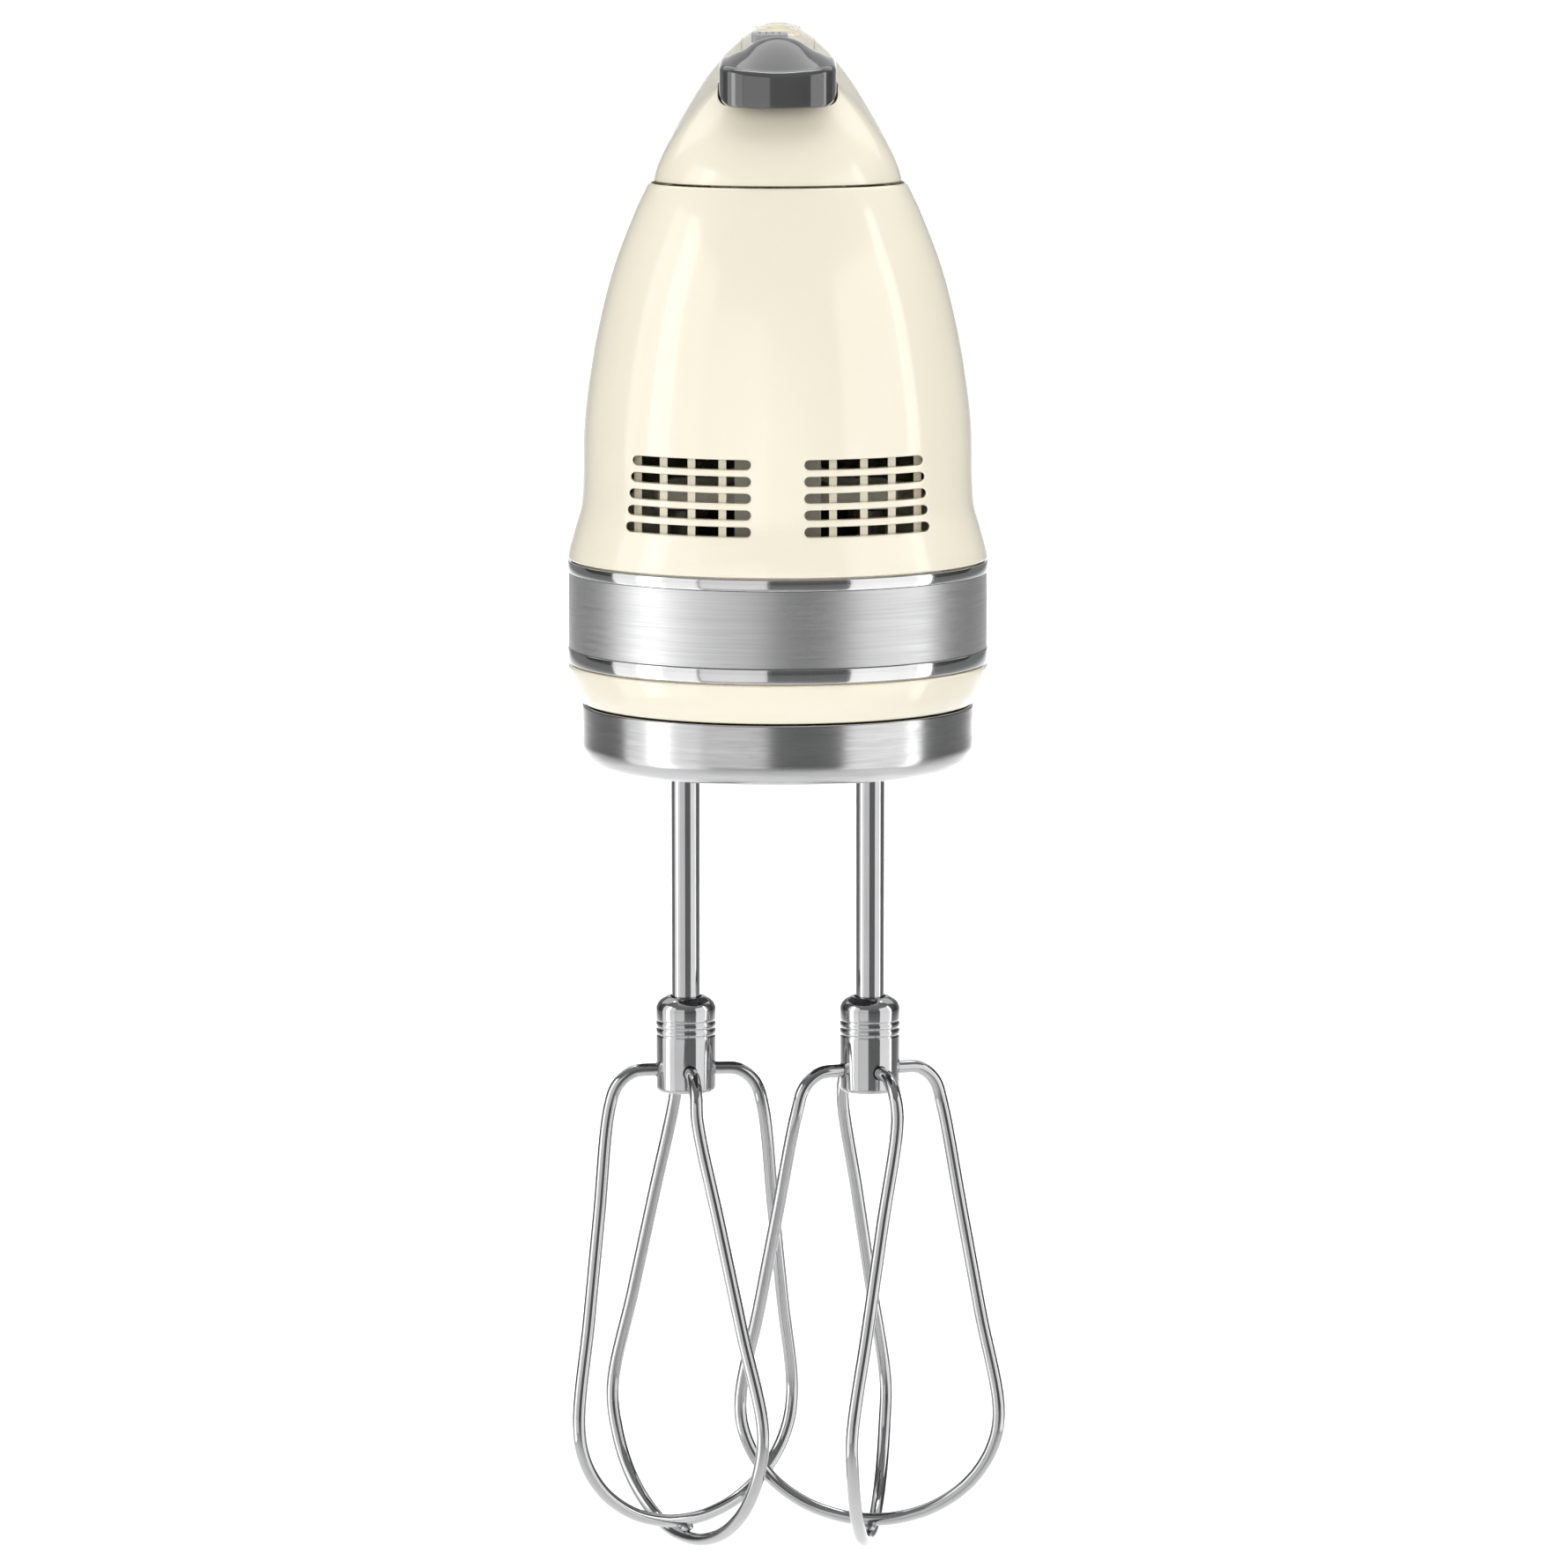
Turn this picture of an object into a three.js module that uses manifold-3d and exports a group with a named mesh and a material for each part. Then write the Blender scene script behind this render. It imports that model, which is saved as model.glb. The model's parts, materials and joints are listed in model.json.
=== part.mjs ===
// Electric hand mixer. Millimetres, +Z up, +X to the right, the front faces -Y.
//
// Inside the model, z = 0 is the underside of the base skirt and y = 0 is the plane of the two beater
// axes. The whole mixer is then shifted so that the middle of the grip is at the origin.

import * as THREE from 'three';
import { mergeVertices } from 'three/addons/utils/BufferGeometryUtils.js';
import Module from 'manifold-3d';

const wasm = await Module();
wasm.setup();

// ---------- driving dimensions ----------

const GAP = 0.3;                    // between neighbouring pieces
const WALL = 2.4;                   // housing wall
const GRIP = { y: 78, z: 137 };     // middle of the grip, the origin of the finished part

const SEAM_Z = 122.8;               // between main housing and handle cover
const CREST_Z = 155.2;              // highest point of the handle
const BAND = { bottom: 21.9, top: 43.5, radius: 44.5, thickness: 1.2 };
const TONGUE = { meet: 32.2, thickness: 1.8 };    // rims behind the band, and where they meet
const SKIRT_TOP = 13;
const SKIRT_CORNER = 4.6;

const AXIS_X = 19.6;                // each beater axis, left and right of the middle
const SHAFT_Z = 36;                 // motor shaft and middle of the drive gears
const TEETH = 24;
const GEAR_PITCH_R = 15;
const WORM_PITCH_R = AXIS_X - GEAR_PITCH_R;
const WORM_PITCH = 2 * Math.PI * GEAR_PITCH_R / TEETH;
const TOOTH_TOP = 1.2;
const TOOTH_ROOT = 1.5;
const GEAR_HEIGHT = 8;

const STEM_R = 3.05;
const ROD_Y = -8;                   // ejector rod, in front of the beater plane

const WIRE_R = 1.4;
const HUB = { top: -50.1, bottom: -70.6, radius: 6.4 };

const PANEL = { y: 33, z: 152.4, length: 52, width: 15, tilt: 4.4 * Math.PI / 180 };

// ---------- materials ----------

const paint = (color, roughness, metalness = 0) => () =>
  new THREE.MeshStandardMaterial({ color, roughness, metalness });
const cream = paint(0xf5ecd2, 0.2);
const brushed = paint(0xc4c4c4, 0.35, 1);
const satin = paint(0xb4b4b4, 0.25, 1);
const chrome = paint(0xd8d8d8, 0.08, 1);
const steel = paint(0xa0a0a0, 0.4, 1);
const darkGrey = paint(0x4a4b4d, 0.22);
const silverGrey = paint(0xa9a9ae, 0.25);
const blackPlastic = paint(0x1c1c1e, 0.6);
const greyRubber = paint(0x3a3a3c, 0.85);
const offWhite = paint(0xe4dfd0, 0.5);
const nylon = paint(0xefe9d8, 0.45);
const brass = paint(0xb9923c, 0.35, 1);
const copper = paint(0xb56a3c, 0.35, 1);
const ferrite = paint(0x2c2c30, 0.8);
const graphite = paint(0x26262a, 0.7);
const board = paint(0x1f5a35, 0.5);

// ---------- solids and their joins and cuts ----------

function toSolid(geometry) {
  const bare = geometry.clone();
  for (const name of Object.keys(bare.attributes)) {
    if (name !== 'position') bare.deleteAttribute(name);
  }
  const merged = mergeVertices(bare, 1e-4);
  return new wasm.Manifold(new wasm.Mesh({
    numProp: 3,
    vertProperties: new Float32Array(merged.attributes.position.array),
    triVerts: new Uint32Array(merged.index.array),
  }));
}

function toGeometry(solid) {
  const mesh = solid.getMesh();
  const geometry = new THREE.BufferGeometry();
  const positions = new Float32Array(mesh.numVert * 3);
  for (let i = 0; i < mesh.numVert; i += 1) {
    for (let k = 0; k < 3; k += 1) positions[3 * i + k] = mesh.vertProperties[mesh.numProp * i + k];
  }
  geometry.setAttribute('position', new THREE.BufferAttribute(positions, 3));
  geometry.setIndex(new THREE.BufferAttribute(new Uint32Array(mesh.triVerts), 1));
  geometry.computeVertexNormals();
  return geometry;
}

const join = (first, ...rest) =>
  toGeometry(rest.reduce((solid, g) => solid.add(toSolid(g)), toSolid(first)));
const cut = (first, ...rest) =>
  toGeometry(rest.reduce((solid, g) => solid.subtract(toSolid(g)), toSolid(first)));
const overlap = (a, b) => toGeometry(toSolid(a).intersect(toSolid(b)));

// ---------- basic shapes ----------

const AXES = {
  x: new THREE.Matrix4().makeBasis(
    new THREE.Vector3(0, 1, 0), new THREE.Vector3(0, 0, 1), new THREE.Vector3(1, 0, 0)),
  y: new THREE.Matrix4().makeBasis(
    new THREE.Vector3(0, 0, 1), new THREE.Vector3(1, 0, 0), new THREE.Vector3(0, 1, 0)),
  z: new THREE.Matrix4(),
};

// A prism of a 2-D shape. Along x the shape is drawn in (y, z); along y in (z, x); along z in (x, y).
function prism(shape, axis, from, to, curveSegments = 6) {
  const geometry = new THREE.ExtrudeGeometry(shape, {
    depth: to - from, bevelEnabled: false, curveSegments, steps: 1,
  });
  return geometry.translate(0, 0, from).applyMatrix4(AXES[axis]);
}

// A solid of revolution from [radius, height] points; its axis is x, y or z through `at`.
function turned(profile, axis, at, segments = 20) {
  const points = profile.map(([r, h]) => new THREE.Vector2(r, h));
  const geometry = new THREE.LatheGeometry(points, segments).rotateX(Math.PI / 2);
  return geometry.applyMatrix4(AXES[axis]).translate(...at);
}

const disc = (r, from, to) => [[0, from], [r, from], [r, to], [0, to]];
const sleeve = (inner, outer, from, to) => [
  [inner, from], [outer, from], [outer, to], [inner, to], [inner, from]];

function block(x0, x1, y0, y1, z0, z1) {
  return new THREE.BoxGeometry(x1 - x0, y1 - y0, z1 - z0)
    .translate((x0 + x1) / 2, (y0 + y1) / 2, (z0 + z1) / 2);
}

// A closed outline with its corners rounded: each corner is [x, y, radius].
function roundedOutline(corners) {
  const shape = new THREE.Shape();
  corners.forEach(([x, y, radius], i) => {
    const here = new THREE.Vector2(x, y);
    const before = new THREE.Vector2(...corners.at(i - 1));
    const after = new THREE.Vector2(...corners[(i + 1) % corners.length]);
    const start = here.clone().add(before.sub(here).setLength(radius));
    const end = here.clone().add(after.sub(here).setLength(radius));
    if (i === 0) shape.moveTo(start.x, start.y);
    else shape.lineTo(start.x, start.y);
    if (radius > 0) shape.quadraticCurveTo(x, y, end.x, end.y);
  });
  shape.closePath();
  return shape;
}

// A straight value or a smooth curve through [position, value] points.
function curveThrough(points) {
  return (at) => {
    const last = points.length - 1;
    if (at <= points[0][0]) return points[0][1];
    if (at >= points[last][0]) return points[last][1];
    const i = points.findIndex(([position]) => position > at) - 1;
    const [x0, y0] = points[i];
    const [x1, y1] = points[i + 1];
    const slope = (a, b) => (points[b][1] - points[a][1]) / (points[b][0] - points[a][0]);
    const m0 = i > 0 ? slope(i - 1, i + 1) : slope(i, i + 1);
    const m1 = i + 2 <= last ? slope(i, i + 2) : slope(i, i + 1);
    const t = (at - x0) / (x1 - x0);
    const span = x1 - x0;
    return y0 * (1 + 2 * t) * (1 - t) ** 2 + m0 * span * t * (1 - t) ** 2
      + y1 * t * t * (3 - 2 * t) - m1 * span * t * t * (1 - t);
  };
}

const ease = (x, from, to) => {
  const t = Math.min(1, Math.max(0, (x - from) / (to - from)));
  return t * t * (3 - 2 * t);
};

// ---------- the body's outer surface ----------

// Radius of the round front at each height.
const frontRadius = curveThrough([
  [0, BAND.radius - 3], [SKIRT_TOP, BAND.radius - 3], [16.1, 43.2], [BAND.bottom, BAND.radius],
  [BAND.top, BAND.radius], [49.8, 43], [55.5, 41.5], [72.2, 40.9], [83.4, 39.5],
  [94.5, 37.4], [105.6, 34.4], [116.7, 30.1], [SEAM_Z, 27.2],
]);
// Half width beside the grip, at the rear column, and how far back the body reaches.
const waist = curveThrough([
  [0, 41.3], [16.1, 43], [BAND.bottom, 44.2], [BAND.top, 44.2], [50, 42], [56, 40.5], [62, 38],
  [68, 33.5], [73, 28], [77, 22], [84, 18.5], [100, 15.5], [112, 15.5], [117, 16.8], [SEAM_Z, 17.8],
]);
const rearWidth = curveThrough([
  [0, 31.5], [BAND.bottom, 34.5], [BAND.top, 34.5], [60, 32], [78, 25], [95, 20], [SEAM_Z, 17.8],
]);
const rearReach = curveThrough([
  [0, 151], [BAND.bottom, 154], [BAND.top, 154], [60, 157.5], [110, 158], [SEAM_Z, 156],
]);

// Exponents of the rear end's outline: 1 gives an ellipse and less gives a flatter back.
const REAR_SQUARENESS = { x: 0.6, y: 0.8 };

// One horizontal outline of the body, from the front along +X to the rear and back along -X.
function bodyOutline(z, inset = 0, front = frontRadius(z)) {
  const a = front - inset;
  const rear = rearReach(z) - inset;
  const corner = Math.min(20, rearWidth(z) - 2);
  const half = (y) => {
    const middle = front + (waist(z) - front) * ease(y, 0, 52);
    return middle + (rearWidth(z) - middle) * ease(y, 66, 146) - inset;
  };
  const points = [];
  const FRONT_STEPS = 7;
  for (let i = 0; i < FRONT_STEPS; i += 1) {
    const angle = (i / FRONT_STEPS - 1) * Math.PI / 2;
    points.push([a * Math.cos(angle), a * Math.sin(angle)]);
  }
  for (const y of [0, 13, 26, 40, 56, 80, 100, 120]) points.push([half(y), y]);
  const REAR_STEPS = 4;
  for (let i = 0; i <= REAR_STEPS; i += 1) {
    const angle = i / REAR_STEPS * Math.PI / 2;
    const width = half(rear - corner);
    points.push([
      width * Math.cos(angle) ** REAR_SQUARENESS.x,
      rear - corner + corner * Math.sin(angle) ** REAR_SQUARENESS.y,
    ]);
  }
  points[0][0] = 0;
  points.at(-1)[0] = 0;
  const left = points.slice(1, -1).reverse().map(([x, y]) => [-x, y]);
  return [...points, ...left];
}

// A solid through a stack of outlines, each a closed list of [x, y] mirrored about x = 0, with a
// height for each outline, or for each of its points.
function loft(layers) {
  const n = layers[0].outline.length;
  const positions = [];
  for (const { outline, z } of layers) {
    outline.forEach(([x, y], i) => positions.push(x, y, Array.isArray(z) ? z[i] : z));
  }
  const index = [];
  for (let j = 0; j + 1 < layers.length; j += 1) {
    for (let i = 0; i < n; i += 1) {
      const a = j * n + i;
      const b = j * n + (i + 1) % n;
      index.push(a, b, b + n, a, b + n, a + n);
    }
  }
  const top = (layers.length - 1) * n;
  for (let i = 0; i < n / 2; i += 1) {
    const j = (n - i) % n;
    const k = n - i - 1;
    if (i > 0) {
      index.push(i, j, i + 1, top + i, top + i + 1, top + j);
    }
    if (k !== i + 1) {
      index.push(i + 1, j, k, top + i + 1, top + k, top + j);
    }
  }
  const geometry = new THREE.BufferGeometry();
  geometry.setAttribute('position', new THREE.Float32BufferAttribute(positions, 3));
  geometry.setIndex(index);
  return geometry;
}

const bodyLoft = (heights, inset = 0) =>
  loft(heights.map((z) => ({ outline: bodyOutline(z, inset), z })));

// A closed band of the body between two heights, with upright walls or the body's own.
function bodyRing(heights, inset, thickness) {
  const over = 1;
  const inner = [heights[0] - over, ...heights.slice(1, -1), heights.at(-1) + over];
  return cut(bodyLoft(heights, inset), bodyLoft(inner, inset + thickness));
}

function uprightRing(from, to, inset, thickness) {
  const wall = (z0, z1, depth) => {
    const outline = bodyOutline(BAND.top, depth);
    return loft([{ outline, z: z0 }, { outline, z: z1 }]);
  };
  return cut(wall(from, to, inset), wall(from - 1, to + 1, inset + thickness));
}

// ---------- the handle cover's outer surface ----------

const crest = curveThrough([
  [0, 150.6], [12, 152], [30, 154.1], [50, CREST_Z],
  [80, 154.7], [105, 152.4], [124, 148.4], [132, 145.6],
]);
const SPINE = { from: 1, to: 130 };

// The cover rises from the seam to a crest line, as a cone round the nose and an arch over the grip.
function coverDome(inset, base, steps) {
  const outline = bodyOutline(SEAM_Z, 1.1 + inset);
  return loft(steps.map((rise) => {
    const heights = [];
    const shrunk = outline.map(([x, y]) => {
      const spineY = Math.min(SPINE.to, Math.max(SPINE.from, y));
      const roundness = 1.42 + 0.68 * ease(y, -5, 40);
      const spread = (1 - rise ** roundness) ** (1 / roundness);
      heights.push(base + (crest(spineY) - inset - base) * rise);
      return [x * spread, spineY + (y - spineY) * spread];
    });
    return { outline: shrunk, z: heights };
  }));
}

// ---------- placing named pieces ----------

const mixer = new THREE.Group();
mixer.position.set(0, -GRIP.y, -GRIP.z);

function add(name, geometry, material, parent = mixer) {
  const mesh = new THREE.Mesh(geometry, material());
  mesh.name = name;
  parent.add(mesh);
  return mesh;
}

// ---------- casings ----------

const fingerGap = (grow) => prism(roundedOutline([
  [30 - grow, 77 - grow, 13], [124 + grow, 77 - grow, 15],
  [120 + grow, 117 + grow, 10], [36 - grow, 117 + grow, 10],
]), 'x', -60, 60, 4);

const VENT = { x0: 5.5, x1: 30.7, first: 53, pitch: 3.45, height: 2.05, count: 5 };

function ventSlots(side) {
  const slots = [];
  for (let i = 0; i < VENT.count; i += 1) {
    const z = VENT.first + i * VENT.pitch;
    const x1 = VENT.x1 + 0.35 * (2 - i);
    const [left, right] = side > 0 ? [VENT.x0, x1] : [-x1, -VENT.x0];
    const r = VENT.height / 2;
    const slot = roundedOutline([
      [z - r, left, r], [z - r, right, r], [z + r, right, r], [z + r, left, r],
    ]);
    slots.push(prism(slot, 'y', -50, -22, 1));
  }
  return slots;
}

const GLAND = { z: 50.3, radius: 5.6 };
const HEEL = { z0: 58, z1: 112, halfWidth: 14, y: 155.8, thickness: 4 };

function mainHousing() {
  const tongueTop = BAND.top + GAP;
  const tongue = uprightRing(
    TONGUE.meet + GAP / 2, tongueTop + 1, BAND.thickness + GAP, TONGUE.thickness);
  const outside = bodyLoft([tongueTop, 46.5, 50, 55.5, 63, 69, 74, 79, 88, 98, 108, 116, SEAM_Z]);
  const inside = bodyLoft([tongueTop - 1, 50, 61, 69, 75, 81, 100, 113, SEAM_Z + 1], WALL);
  const hollow = cut(inside, fingerGap(WALL));
  const shell = cut(outside, hollow, fingerGap(0), ...ventSlots(1), ...ventSlots(-1));
  const heelSeat = block(
    -HEEL.halfWidth - GAP, HEEL.halfWidth + GAP, HEEL.y, 170, HEEL.z0 - GAP, HEEL.z1 + GAP);
  const gland = turned(disc(GLAND.radius + GAP, 140, 170), 'y', [0, 0, GLAND.z]);
  const heelBacking = overlap(outside, block(-17, 17, 151, 170, HEEL.z0 - 3, HEEL.z1 + 3));
  return cut(join(shell, tongue, heelBacking), heelSeat, gland);
}

const WELL = { halfWidth: 12.5, front: -14.3, back: 3, floor: 129.5, wall: 1.6 };

function upperCover() {
  const base = SEAM_Z + GAP;
  const outer = coverDome(0, base, [0, 0.17, 0.34, 0.5, 0.65, 0.78, 0.89, 0.96, 0.995]);
  const inner = coverDome(WALL, base - 1, [0, 0.3, 0.6, 0.85, 0.98]);
  const { halfWidth, front, back, floor, wall } = WELL;
  const wellBox = block(
    -halfWidth - wall, halfWidth + wall, front - wall, back + wall, floor - wall, 170);
  const well = block(-halfWidth, halfWidth, front, back, floor, 170);
  const rodHole = turned(disc(3.6, 120, 140), 'z', [0, ROD_Y, 0], 16);
  const panelSeat = tilted(block(-PANEL.width / 2 - GAP, PANEL.width / 2 + GAP,
    -PANEL.length / 2 - GAP, PANEL.length / 2 + GAP, -2.2, 12));
  const panelFloor = tilted(block(-PANEL.width / 2 - 1.5, PANEL.width / 2 + 1.5,
    -PANEL.length / 2 - 1.5, PANEL.length / 2 + 1.5, -3.8, 12));
  const wires = tilted(block(-6, 6, -22, 19, -6, 0));
  const pockets = overlap(outer, join(wellBox, panelFloor));
  return cut(join(cut(outer, inner), pockets), well, rodHole, panelSeat, wires);
}

// Moves a geometry drawn round the control panel's middle, with its top at z = 0, to its place.
function tilted(geometry) {
  return geometry.rotateX(PANEL.tilt).translate(0, PANEL.y, PANEL.z);
}

function lowerHousing() {
  const rim = BAND.bottom - GAP;
  const outside = bodyLoft([SKIRT_TOP + GAP, 16, 18.5, rim]);
  const inside = bodyLoft([SKIRT_TOP - 1, rim + 1], WALL + 0.6);
  const tongue = uprightRing(
    rim - 1, TONGUE.meet - GAP / 2, BAND.thickness + GAP, TONGUE.thickness);
  return join(cut(outside, inside), tongue);
}

function baseSkirt() {
  const flare = (z) => SKIRT_CORNER * (1 - Math.sqrt(1 - (1 - Math.min(1, z / SKIRT_CORNER)) ** 2));
  const heights = [0, 0.8, 2.4, SKIRT_CORNER, SKIRT_TOP];
  const outside = loft(heights.map((z) => ({ outline: bodyOutline(z, flare(z)), z })));
  return cut(outside, bodyLoft([-1, SKIRT_TOP + 1], 7));
}

const FOOT_SCREWS = [[-24, -18], [24, -18], [-22, 118], [22, 118]];

function basePlate() {
  const plate = bodyLoft([1.2, 4.2], 7 + GAP);
  const holes = [-AXIS_X, AXIS_X].map((x) => turned(disc(5.4, 0, 6), 'z', [x, 0, 0], 20));
  const screws = FOOT_SCREWS.map(([x, y]) => turned(disc(2.9, 0, 6), 'z', [x, y, 0], 12));
  return cut(plate, ...holes, ...screws);
}

const panScrew = [[0, 1.4], [2.6, 1.4], [2.6, 2.9], [1.4, 3.4], [1.4, 11.5], [0, 12.5]];

function addCasings() {
  add('upper_cover', upperCover(), cream);
  add('main_housing', mainHousing(), cream);
  add('trim_band', uprightRing(BAND.bottom, BAND.top, 0, BAND.thickness), brushed);
  add('lower_housing', lowerHousing(), cream);
  add('base_skirt', baseSkirt(), satin);
  add('base_plate', basePlate(), blackPlastic);
  FOOT_SCREWS.forEach(([x, y], i) => {
    add(`base_screw_${i + 1}`, turned(panScrew, 'z', [x, y, 0], 8), steel);
  });
  const { halfWidth, z0, z1, y, thickness } = HEEL;
  const pad = roundedOutline([
    [z0, -halfWidth, 4], [z0, halfWidth, 4], [z1, halfWidth, 4], [z1, -halfWidth, 4]]);
  add('heel_pad', prism(pad, 'y', y + GAP, y + thickness, 3), greyRubber);
  const grip = roundedOutline([[-11, 47, 8], [11, 47, 8], [11, 109, 8], [-11, 109, 8]]);
  add('grip_pad', prism(grip, 'z', 113.6, 117 - GAP, 3), greyRubber);
}

// Upright ribs inside the vents, tied by a rail above and below the slots.
function ventRibs() {
  const inset = WALL + 3 * GAP;
  const z0 = 50.5;
  const z1 = 69.5;
  const rail = (from, to) =>
    cut(bodyRing([from, to], inset, 1.2), block(-80, 80, -24, 200, 40, 80));
  const wall = cut(bodyRing([z0, z1], inset, 1.6), block(-80, 80, -20, 200, 40, 80));
  const bars = [11.4, 17.8, 23.6, 29].flatMap((x) => [
    block(-x - 0.8, -x + 0.8, -60, 0, z0 - 2, z1 + 2),
    block(x - 0.8, x + 0.8, -60, 0, z0 - 2, z1 + 2),
  ]);
  return join(overlap(wall, join(...bars)), rail(z0 - 1.8, z0 + 0.5), rail(z1 - 0.5, z1 + 1.8));
}

// ---------- control panel, switch and buttons ----------

const PANEL_SLOT = { y: -18, halfX: 5.6, halfY: 3 };
const KNOB = { width: 7.7, depth: 5, travel: 3.5 };
const KEYS = [{ name: 'speed_up_button', y: -6 }, { name: 'speed_down_button', y: 5 }];
const KEY_RADIUS = 3.9;
const DISPLAY = { y: 17, halfX: 4.5, halfY: 4 };

function addControls() {
  const { width, length } = PANEL;
  const outline = roundedOutline([
    [-width / 2, -length / 2, 3], [width / 2, -length / 2, 3],
    [width / 2, length / 2, 7], [-width / 2, length / 2, 7]]);
  const slot = block(-PANEL_SLOT.halfX, PANEL_SLOT.halfX,
    PANEL_SLOT.y - PANEL_SLOT.halfY, PANEL_SLOT.y + PANEL_SLOT.halfY, -4, 4);
  const holes = KEYS.map(({ y }) => turned(disc(KEY_RADIUS + GAP, -4, 4), 'z', [0, y, 0], 20));
  const window = block(-DISPLAY.halfX - GAP, DISPLAY.halfX + GAP,
    DISPLAY.y - DISPLAY.halfY - GAP, DISPLAY.y + DISPLAY.halfY + GAP, -1, 4);
  const panel = cut(prism(outline, 'z', -1.9, 0.4, 4), slot, ...holes, window);
  add('control_panel', tilted(panel), cream);
  const { halfX, halfY, y } = DISPLAY;
  add('speed_display', tilted(block(-halfX, halfX, y - halfY, y + halfY, -0.7, 0.5)), blackPlastic);
  for (const key of KEYS) {
    const cap = [[0, -3], [KEY_RADIUS, -3], [KEY_RADIUS, 0.9], [KEY_RADIUS - 0.6, 1.5], [0, 1.2]];
    add(key.name, tilted(turned(cap, 'z', [0, key.y, 0], 20)), cream);
  }
  const left = -KNOB.travel / 2;
  const knob = roundedOutline([
    [left - KNOB.width / 2, -KNOB.depth / 2 + PANEL_SLOT.y, 1.5],
    [left + KNOB.width / 2, -KNOB.depth / 2 + PANEL_SLOT.y, 1.5],
    [left + KNOB.width / 2, KNOB.depth / 2 + PANEL_SLOT.y, 1.5],
    [left - KNOB.width / 2, KNOB.depth / 2 + PANEL_SLOT.y, 1.5]]);
  const stalk = block(left - 1.5, left + 1.5, PANEL_SLOT.y - 1.5, PANEL_SLOT.y + 1.5, -4.6, 1.5);
  add('power_switch_knob', tilted(join(prism(knob, 'z', 0.4 + GAP, 2.6, 3), stalk)), silverGrey);
  const switchBox = cut(block(-5.4, 5.4, PANEL_SLOT.y - 3, PANEL_SLOT.y + 3, -8.4, -4.4),
    block(-4, 4, PANEL_SLOT.y - 2, PANEL_SLOT.y + 2, -5.2, -4));
  add('switch_body', tilted(switchBox), blackPlastic);
  add('control_board', tilted(block(-7.5, 7.5, -24, 22, -10.3, -8.7)), board);
}

// ---------- ejector ----------

const BUTTON = { halfWidth: 12.15, bottom: 139, skirt: 135.2, cheek: 10.4, front: -26.4, back: 2.6 };
const ROD = { radius: 2.8, collar: 7, collarZ: 92, top: 146 };
const BRIDGE_Z = 70;
const YOKE_Z = 54.4;
const SPRING = { wire: 0.7, radius: 5, turns: 5 };

function ejectorButton() {
  const { halfWidth, bottom, skirt, cheek, front, back } = BUTTON;
  const rear = WELL.front + GAP;
  const side = new THREE.Shape();
  side.moveTo(front, bottom);
  side.lineTo(front, 145.6);
  side.quadraticCurveTo(front + 0.2, 148.2, front + 2.8, 149.1);
  side.quadraticCurveTo(-15, 152.4, -7, 153.4);
  side.lineTo(back, 153.1);
  side.lineTo(back, skirt);
  side.lineTo(rear, skirt);
  side.lineTo(rear, 143.6);
  side.lineTo(-19, bottom);
  side.closePath();
  const under = new THREE.Shape();
  under.moveTo(rear, bottom - 1);
  under.lineTo(rear, 147.4);
  under.lineTo(-20, 140.8);
  under.lineTo(-22.2, bottom - 1);
  under.closePath();
  const face = new THREE.Shape();
  face.moveTo(skirt - 1, -halfWidth);
  face.lineTo(skirt - 1, halfWidth);
  face.lineTo(146.4, halfWidth);
  face.bezierCurveTo(150.4, halfWidth, 150.2, 7.5, 151.6, 5.6);
  face.quadraticCurveTo(152.6, 4, 153.5, 0);
  face.quadraticCurveTo(152.6, -4, 151.6, -5.6);
  face.bezierCurveTo(150.2, -7.5, 150.4, -halfWidth, 146.4, -halfWidth);
  face.closePath();
  const body = overlap(prism(side, 'x', -20, 20, 5), prism(face, 'y', -40, 10, 5));
  const channel = prism(under, 'x', -cheek, cheek);
  const socket = turned(disc(ROD.radius + GAP, 130, ROD.top + GAP), 'z', [0, ROD_Y, 0], 16);
  return cut(body, channel, socket);
}

class Helix extends THREE.Curve {
  constructor(radius, from, to, turns) {
    super();
    Object.assign(this, { radius, from, to, turns });
  }

  getPoint(t) {
    const angle = 2 * Math.PI * this.turns * t;
    const height = this.from + (this.to - this.from) * t;
    return new THREE.Vector3(this.radius * Math.cos(angle), this.radius * Math.sin(angle), height);
  }
}

function wire(curve, radius, steps, sides = 8) {
  const section = new THREE.Shape();
  for (let i = 0; i < sides; i += 1) {
    const angle = 2 * Math.PI * i / sides;
    const [x, y] = [radius * Math.cos(angle), radius * Math.sin(angle)];
    if (i === 0) section.moveTo(x, y);
    else section.lineTo(x, y);
  }
  section.closePath();
  return new THREE.ExtrudeGeometry(section, { extrudePath: curve, steps, bevelEnabled: false });
}

function coil({ wire: wireRadius, radius, turns }, from, to, sides = 5) {
  const line = new Helix(radius, from + wireRadius, to - wireRadius, turns);
  return wire(line, wireRadius, turns * 9, sides);
}

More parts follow.
